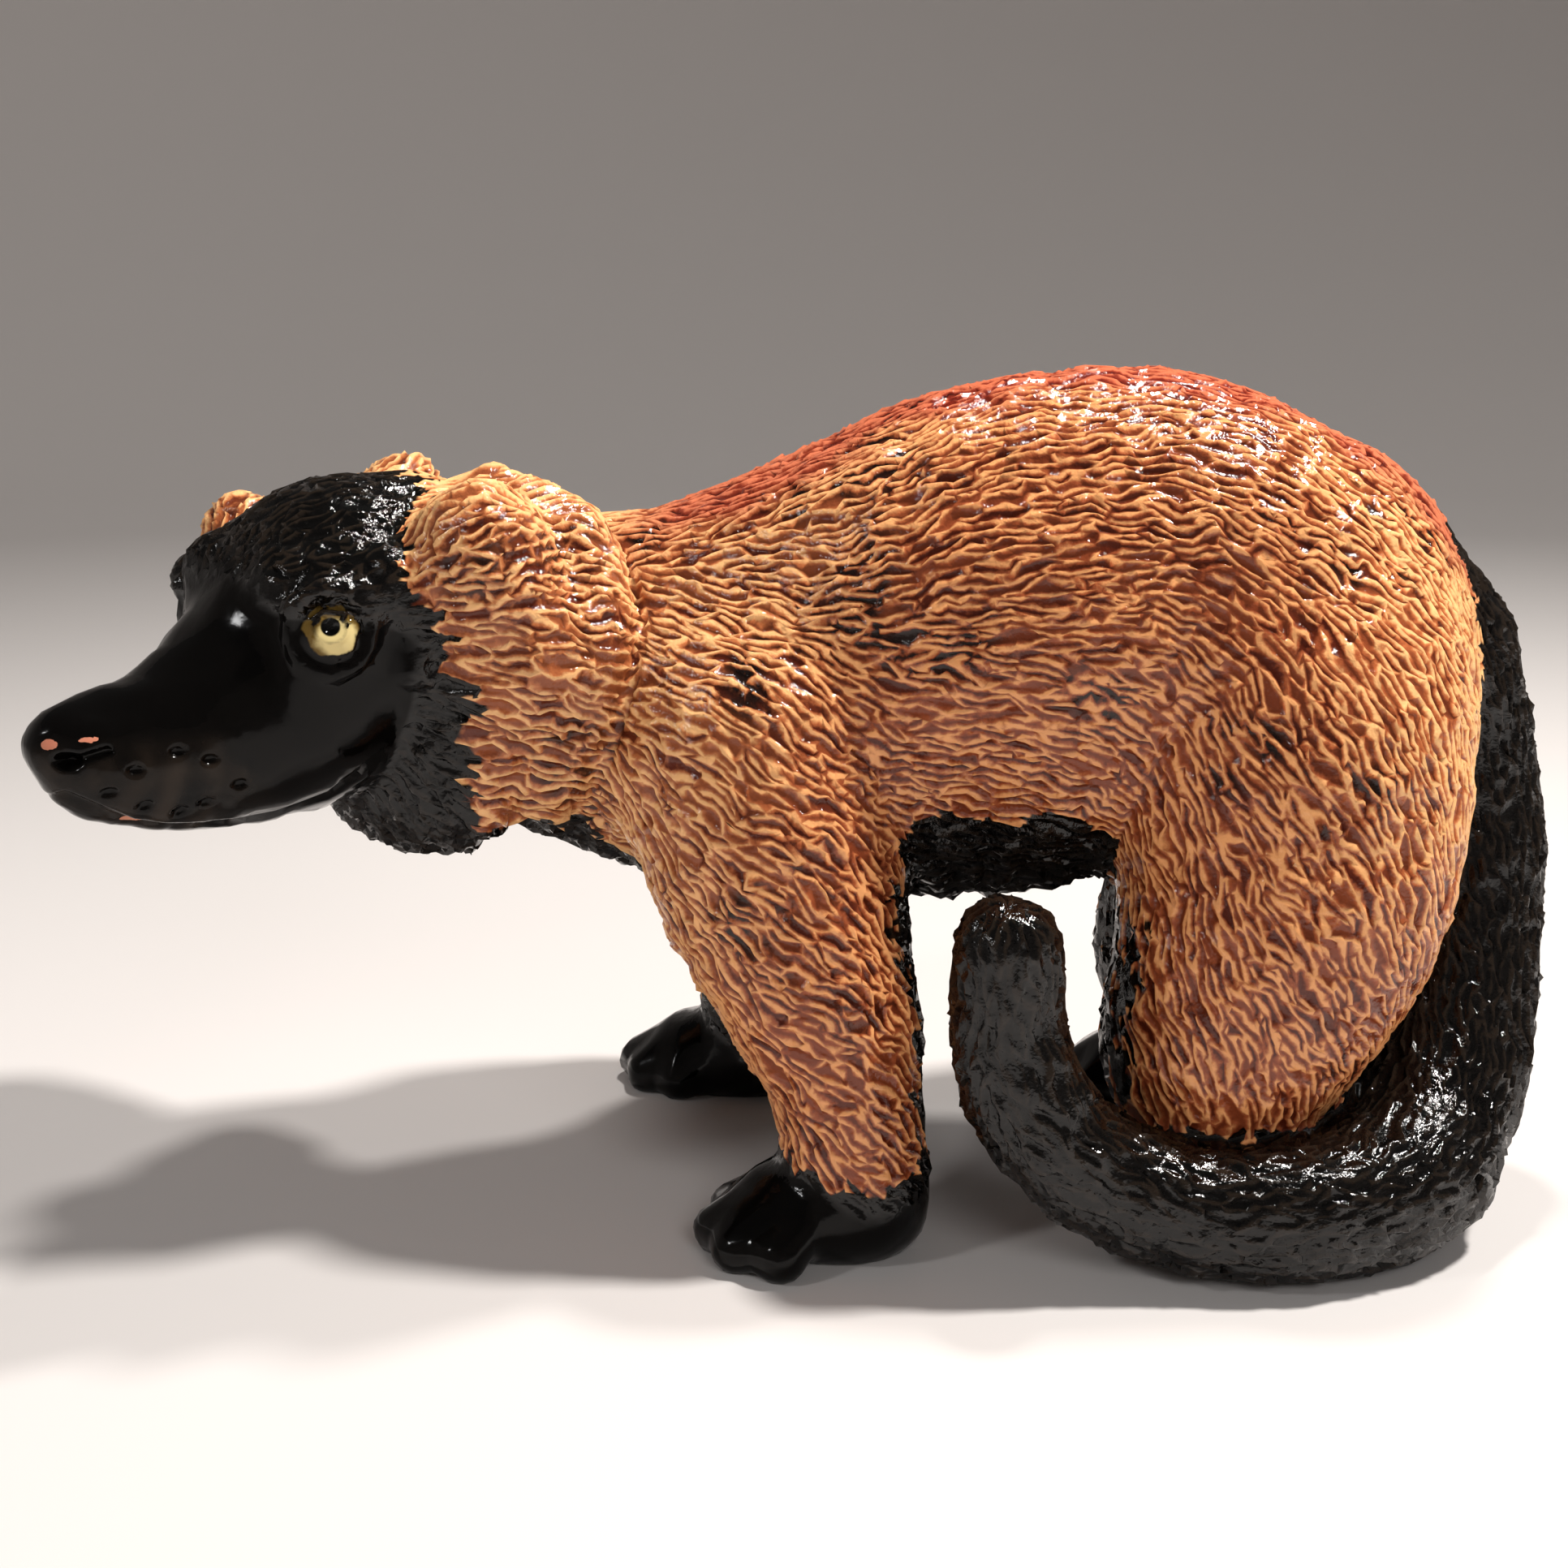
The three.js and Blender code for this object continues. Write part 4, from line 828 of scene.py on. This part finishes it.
def glaze_regions(places, normals, distances, fur, seed_dark):
    """Where the glaze is black, striped, pale, gold or umber, from 0 to 1; the umber is painted shade in the
    hollows behind the ruff and before the haunch, with broad random patches, and the gold upper rump is
    partly painted light.
    """
    x, y, z = places.T
    own_dark = darkness(places, normals, distances, lumps(places, 3.0, 21))
    spine = 1 - smooth_step(7, 14, np.abs(y) + 1.8 * lumps(places, 9, 8))
    collar = np.minimum(distances["ruff"], distances["ears"])
    # Painted shade: umber in the hollows behind the ruff and in the crease before the haunch.
    behind_ruff_shade = smooth_step(26, 8, np.hypot(x - 2, z - 78))
    haunch_crease_shade = smooth_step(9, 3, np.hypot(x - 40, z - 36))
    return {
        "black": smooth_step(-0.3, 0.3, np.where(fur > 0.3, 0.55 * seed_dark + 0.45 * own_dark, own_dark)),
        "stripe": spine * smooth_step(70, 80, z) * smooth_step(-24, -12, x),
        "light": np.maximum(smooth_step(12, -14, x - 0.35 * (z - 60)), smooth_step(3, 0, collar)),
        # Gold tone on the upper rump, partly painted light where the key light falls on it.
        "golden_and_lit": smooth_step(52, 74, x) * smooth_step(30, 60, z),
        "umber_and_shade": smooth_step(0.35, 1.1, lumps(places, 18, 9) + 0.8 * behind_ruff_shade + 1.3 * haunch_crease_shade),
    }


low, high = np.array([-88.0, -47, -4]), np.array([101.0, 45, 107])
rough = to_object("rough", *mesh_surface(low, high, GRID_STEP))
fine_mesh = with_modifier(rough, "SUBSURF", levels=1, render_levels=1)
places, normals = read_mesh(fine_mesh)
faces = read_faces(fine_mesh, 4)
bpy.data.objects.remove(rough)

distances = part_distances(places)
amount = fur_amount(places, distances)
seeds = make_seeds(places, normals, distances, amount)
nearest, run, hollow = carve_strokes(seeds, places, normals, amount)
has_stroke = nearest >= 0
owner = np.maximum(nearest, 0)
fur = np.where(has_stroke, amount, 0)
height = fur_relief(places, distances, fur, seeds["depth"][owner], run, hollow)

near_head = places[:, 0] < HEAD_END
# Painted floor reflection on the lower muzzle, and the bare chips.
painted_sheen, chip = np.zeros(len(places)), np.zeros(len(places))
cut, pits = face_relief(places[near_head], 1 - amount[near_head])
painted_sheen[near_head], chip[near_head] = muzzle_sheen_and_chips(places[near_head], pits)
height[near_head] -= cut
for wave in soft_waves(places, normals, amount):
    height += wave
carved = places + normals * height[:, None]
carved[:, 2] = np.maximum(carved[:, 2], 0)
carved[places[:, 2] < SOLE_BAND, 2] = 0

# Inside the solid's box
box_low, box_high = (np.array(corner) / MM + FOOTPRINT_CENTRE for corner in cad_box)
carved = np.clip(carved, box_low + BOX_CLEARANCE, box_high - BOX_CLEARANCE)
carved[carved[:, 2] < 2 * BOX_CLEARANCE, 2] = 0

skin_mesh = thin_skin(carved, faces, places, normals, amount)
thinned, _ = read_mesh(skin_mesh)
thinned = np.clip(thinned, box_low, box_high)
skin_mesh.vertices.foreach_set("co", ((thinned - FOOTPRINT_CENTRE) * MM).astype(np.float32).ravel())
skin_mesh.update()

# What the glaze needs to know at each vertex of the final skin, from the nearest carved vertex
tree = kdtree.KDTree(len(carved))
for i, place in enumerate((carved - FOOTPRINT_CENTRE) * MM):
    tree.insert(place, i)
tree.balance()
skin_places, _ = read_mesh(skin_mesh)
source = np.array([tree.find(place)[1] for place in skin_places])
values = {
    "ridge": np.where(has_stroke, 1 - hollow, 1) * fur,
    "fur": fur,
    "tone": np.where(has_stroke, seeds["tone"][owner], 0.5),
    "painted_sheen": painted_sheen,
    "chip": chip,
    **glaze_regions(places, normals, distances, fur, seeds["dark"][owner]),
}
for name, value in values.items():
    layer = skin_mesh.attributes.new(name, "FLOAT", "POINT")
    layer.data.foreach_set("value", value[source].astype(np.float32))

lemur = bpy.data.objects.new("lemur_glazed", skin_mesh)
skin_mesh.name = "lemur_glazed"
bpy.context.scene.collection.objects.link(lemur)
skin_mesh.polygons.foreach_set("use_smooth", np.ones(len(skin_mesh.polygons), bool))


# Glaze

class Shader:
    """Small helper that adds and links nodes."""

    def __init__(self, material):
        material.use_nodes = True
        self.tree = material.node_tree
        self.tree.nodes.clear()

    def node(self, kind, **settings):
        made = self.tree.nodes.new(kind)
        for key, value in settings.items():
            setattr(made, key, value)
        return made

    def link(self, source, target):
        self.tree.links.new(source, target)

    def attribute(self, name):
        return self.node("ShaderNodeAttribute", attribute_name=name).outputs["Fac"]

    def math(self, operation, a, b=0.0, clamp=False):
        made = self.node("ShaderNodeMath", operation=operation, use_clamp=clamp)
        for socket, value in zip(made.inputs, (a, b)):
            if isinstance(value, (int, float)):
                socket.default_value = value
            else:
                self.link(value, socket)
        return made.outputs[0]

    def mix(self, amount, a, b):
        made = self.node("ShaderNodeMix", data_type="RGBA")
        for socket, value in ((made.inputs[0], amount), (made.inputs[6], a), (made.inputs[7], b)):
            if isinstance(value, tuple):
                socket.default_value = (*value, 1)
            elif isinstance(value, (int, float)):
                socket.default_value = value
            else:
                self.link(value, socket)
        return made.outputs[2]

    def between(self, value, low, high, to_low=0.0, to_high=1.0):
        made = self.node("ShaderNodeMapRange", interpolation_type="SMOOTHSTEP")
        self.link(value, made.inputs[0])
        for i, number in enumerate((low, high, to_low, to_high), 1):
            made.inputs[i].default_value = number
        return made.outputs[0]

    def glaze_tone(self, edge, deep, shade, pit, slope, crest):
        """Dark where the carving is deep, light on its ridges: partly the glaze's own tones, partly painted
        shade in the hollows and painted highlight on the crests; shade makes some strokes lighter.
        """
        floor = self.mix(shade, linear(*pit), linear(*(0.35 * a + 0.65 * b for a, b in zip(pit, slope))))
        return self.mix(edge, self.mix(deep, linear(*slope), floor), linear(*crest))

    def noise(self, where, scale, detail=3.0, roughness=0.5):
        made = self.node("ShaderNodeTexNoise")
        self.link(where, made.inputs["Vector"])
        made.inputs["Scale"].default_value = scale
        made.inputs["Detail"].default_value = detail
        made.inputs["Roughness"].default_value = roughness
        return made.outputs["Fac"]


def linear(red, green, blue):
    """Linear values of an sRGB colour."""
    return tuple(c / 12.92 if c <= 0.04045 else ((c + 0.055) / 1.055) ** 2.4 for c in (red, green, blue))


def glaze_material():
    material = bpy.data.materials.new("lemur_glaze")
    shader = Shader(material)
    where = shader.node("ShaderNodeTexCoord").outputs["Object"]
    tone = shader.attribute("tone")
    fine_noise = shader.noise(where, 1100, 4)
    soft_noise = shader.noise(where, 160, 3)
    jitter = shader.math("MULTIPLY", shader.math("SUBTRACT", fine_noise, 0.5), 0.7)
    ridge = shader.math("ADD", shader.attribute("ridge"), jitter)
    # edge picks the ridge crests, painted lighter as painted highlight; deep picks the carved hollows,
    # painted darker as painted shade.
    edge = shader.between(ridge, 0.34, 0.74)
    deep = shader.between(ridge, 0.10, 0.40, 1, 0)
    shade = shader.between(shader.math("ADD", tone, shader.math("MULTIPLY", soft_noise, 0.6)), 0.35, 1.3)
    # Hollow, slope and crest colours of each region; the darker hollows and lighter crests are partly painted
    # shade and painted highlight.
    tones = {
        "flank": ((0.31, 0.11, 0.055), (0.61, 0.31, 0.18), (0.92, 0.64, 0.41)),
        "pale": ((0.36, 0.14, 0.075), (0.72, 0.42, 0.25), (0.97, 0.74, 0.50)),
        "gold": ((0.35, 0.12, 0.06), (0.73, 0.40, 0.23), (0.98, 0.76, 0.51)),
        "red": ((0.24, 0.035, 0.03), (0.45, 0.09, 0.07), (0.78, 0.37, 0.27)),
    }
    flank, pale, gold, red = (shader.glaze_tone(edge, deep, shade, *trio) for trio in tones.values())
    colour = shader.mix(shader.attribute("light"), flank, pale)
    # Partly painted light: the upper rump turns gold.
    colour = shader.mix(shader.attribute("golden_and_lit"), colour, gold)
    colour = shader.mix(shader.math("MULTIPLY", shader.attribute("stripe"), 0.85), colour, red)
    # Umber in the carved hollows: painted shade behind the ruff and before the haunch, with broad random
    # patches.
    umber = shader.math("MULTIPLY", shader.attribute("umber_and_shade"), deep)
    umber = shader.math("MULTIPLY", umber, shader.between(soft_noise, 0.36, 0.56))
    colour = shader.mix(umber, colour, linear(0.11, 0.06, 0.045))
    # Lighter black glaze on the crests of the black fur: painted glints.
    painted_glints = shader.math("MULTIPLY", edge, shader.attribute("fur"))
    ink = shader.mix(shader.math("MULTIPLY", painted_glints, 0.8), linear(0.024, 0.02, 0.018),
                     linear(0.14, 0.11, 0.085))
    # Paler brownish grey on the lower muzzle: painted reflection of the floor.
    ink = shader.mix(shader.math("MULTIPLY", shader.attribute("painted_sheen"), shader.between(soft_noise, 0.3, 0.6)),
                     ink, linear(0.17, 0.14, 0.115))
    bare = shader.between(shader.attribute("chip"), 0.4, 0.6)
    ink = shader.mix(bare, ink, shader.mix(soft_noise, linear(0.78, 0.36, 0.24), linear(0.80, 0.62, 0.52)))
    black = shader.between(shader.attribute("black"), 0.35, 0.65)
    colour = shader.mix(black, colour, ink)
    colour = eye_colours(shader, where, colour)
    output = shader.node("ShaderNodeOutputMaterial")
    surface = shader.node("ShaderNodeBsdfPrincipled")
    shader.link(colour, surface.inputs["Base Color"])
    shader.link(shader.between(soft_noise, 0.3, 0.7, 0.06, 0.16), surface.inputs["Roughness"])
    gloss = shader.between(shader.attribute("fur"), 0.1, 0.6, 0.16, 0.38)
    shader.link(gloss, surface.inputs["Specular IOR Level"])
    bump = shader.node("ShaderNodeBump")
    bump.inputs["Strength"].default_value = 0.35
    bump.inputs["Distance"].default_value = 0.0004
    on_fur = shader.math("ADD", shader.attribute("fur"), 0.08)
    ripple = shader.math("MULTIPLY", shader.noise(where, 1500, 3), on_fur)
    swell = shader.math("MULTIPLY", shader.noise(where, 260, 2), 0.35)
    shader.link(shader.math("ADD", ripple, swell), bump.inputs["Height"])
    shader.link(bump.outputs[0], surface.inputs["Normal"])
    shader.link(surface.outputs[0], output.inputs["Surface"])
    return material


def eye_colours(shader, where, colour):
    """Cream yellow eyeballs, each with a black pupil and a thin dark iris rim."""
    rim_noise = shader.noise(where, 700, 2)
    for centre, gaze in zip(eye_centres, gazes):
        ball = (centre - FOOTPRINT_CENTRE) * MM
        pupil = ball + (gaze * EYE_RADIUS + PUPIL_RISE * UPWARD) * MM
        gaps = []
        for place in (ball, pupil):
            gap = shader.node("ShaderNodeVectorMath", operation="DISTANCE")
            shader.link(where, gap.inputs[0])
            gap.inputs[1].default_value = tuple(place)
            gaps.append(gap.outputs["Value"])
        on_ball = shader.between(gaps[0], (EYE_RADIUS + 0.12) * MM, (EYE_RADIUS + 0.3) * MM, 1, 0)
        facing = shader.between(shader.math("ADD", gaps[1], shader.math("MULTIPLY", rim_noise, 1.6 * MM)),
                                3.9 * MM, 4.3 * MM, 1, 0)
        # Olive toward each eye's upper front, away from a point low at the back: mottled olive colour
        # together with painted shade under the upper lid.
        bright = shader.node("ShaderNodeVectorMath", operation="DISTANCE")
        shader.link(where, bright.inputs[0])
        bright.inputs[1].default_value = tuple(ball + (gaze * EYE_RADIUS - 0.9 * UPWARD - 0.9 * FORWARD) * MM)
        olive = shader.between(shader.math("ADD", bright.outputs["Value"],
                                           shader.math("MULTIPLY", shader.noise(where, 420, 3), 2.4 * MM)),
                               2.8 * MM, 4.0 * MM)
        yellow = shader.mix(olive, linear(0.88, 0.80, 0.56), linear(0.42, 0.33, 0.15))
        iris = shader.between(gaps[1], PUPIL_RADIUS * 0.95 * MM, PUPIL_RADIUS * 1.15 * MM, 1, 0)
        eye = shader.mix(iris, yellow, linear(0.02, 0.02, 0.02))
        height_here = shader.node("ShaderNodeSeparateXYZ")
        shader.link(where, height_here.inputs[0])
        lid_line = shader.math("ADD", height_here.outputs[2], shader.math("MULTIPLY", rim_noise, 0.8 * MM))
        below_lid = shader.between(lid_line, pupil[2] + 2.3 * MM, pupil[2] + 2.7 * MM, 1, 0)
        shown = shader.math("MULTIPLY", shader.math("MULTIPLY", on_ball, facing), below_lid)
        colour = shader.mix(shown, colour, eye)
    return colour


lemur.data.materials.clear()
lemur.data.materials.append(glaze_material())
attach(lemur, "root")
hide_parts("lemur")


# Studio

def make_stage():
    """A pale round floor whose edge curves up, the same from every side."""
    profile = [(0.0, 0.0), (0.55, 0.0), (0.85, 0.0)]
    profile += [(0.85 + 0.5 * math.sin(a), 0.5 - 0.5 * math.cos(a)) for a in np.linspace(0.2, math.pi / 2, 8)]
    profile.append((1.35, 1.1))
    sides = 72
    points, quads = [], []
    for radius, rise in profile:
        for k in range(sides):
            angle = 2 * math.pi * k / sides
            points.append((radius * math.cos(angle), radius * math.sin(angle), rise))
    for row in range(len(profile) - 1):
        for k in range(sides):
            a, b = row * sides + k, row * sides + (k + 1) % sides
            quads.append((a, b, b + sides, a + sides))
    mesh = bpy.data.meshes.new("studio_floor")
    mesh.from_pydata(points, [], quads)
    mesh.polygons.foreach_set("use_smooth", np.ones(len(mesh.polygons), bool))
    floor = bpy.data.objects.new("studio_floor", mesh)
    bpy.context.scene.collection.objects.link(floor)
    material = bpy.data.materials.new("pale_floor")
    shader = Shader(material)
    surface = shader.node("ShaderNodeBsdfPrincipled")
    surface.inputs["Base Color"].default_value = (*linear(0.86, 0.84, 0.83), 1)
    surface.inputs["Roughness"].default_value = 0.6
    output = shader.node("ShaderNodeOutputMaterial")
    shader.link(surface.outputs[0], output.inputs["Surface"])
    mesh.materials.append(material)
    floor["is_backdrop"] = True


def area_light(name, place, target, size, power, colour=(1, 1, 1), seen_in_gloss=True):
    lamp = bpy.data.lights.new(name, "AREA")
    lamp.shape = "DISK"
    lamp.size = size
    lamp.energy = power
    lamp.color = colour
    thing = bpy.data.objects.new(name, lamp)
    thing.location = place
    thing.visible_glossy = seen_in_gloss
    thing.rotation_euler = (Vector(target) - Vector(place)).to_track_quat("-Z", "Y").to_euler()
    bpy.context.scene.collection.objects.link(thing)


FOCAL_PIXELS = 2454.0
PHOTO_PIXELS = 1932.0
CAMERA_PLACE = np.array([0.0, -245.0, 108.0])
CAMERA_PITCH = math.radians(13.2)

make_stage()
area_light("key", (0.32, 0.0, 0.60), (0, 0, 0.05), 0.07, 5.2, (1, 0.97, 0.93))
area_light("top", (0.06, 0.14, 0.62), (0, 0, 0.05), 0.06, 1.8, (1, 0.97, 0.93))
area_light("fill", (0.18, -0.60, 0.42), (0, 0, 0.06), 0.3, 1.1, seen_in_gloss=False)
area_light("side", (-0.50, -0.30, 0.45), (0, 0, 0.06), 0.08, 0.7)
world = bpy.data.worlds.new("studio")
world.use_nodes = True
world.node_tree.nodes["Background"].inputs[0].default_value = (*linear(0.92, 0.91, 0.90), 1)
world.node_tree.nodes["Background"].inputs[1].default_value = 0.10
bpy.context.scene.view_settings.view_transform = "Standard"
bpy.context.scene.world = world

camera_data = bpy.data.cameras.new("camera")
camera_data.sensor_width = 36.0
camera_data.lens = FOCAL_PIXELS / PHOTO_PIXELS * camera_data.sensor_width
camera_data.clip_start = 0.005
camera = bpy.data.objects.new("camera", camera_data)
camera.location = (CAMERA_PLACE - FOOTPRINT_CENTRE) * MM
camera.rotation_euler = (math.pi / 2 - CAMERA_PITCH, 0, 0)
bpy.context.scene.collection.objects.link(camera)
bpy.context.scene.camera = camera

boxes = {"cad": cad_box, "visual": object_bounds()}
{name: [[float(v) for v in corner] for corner in box] for name, box in boxes.items()}
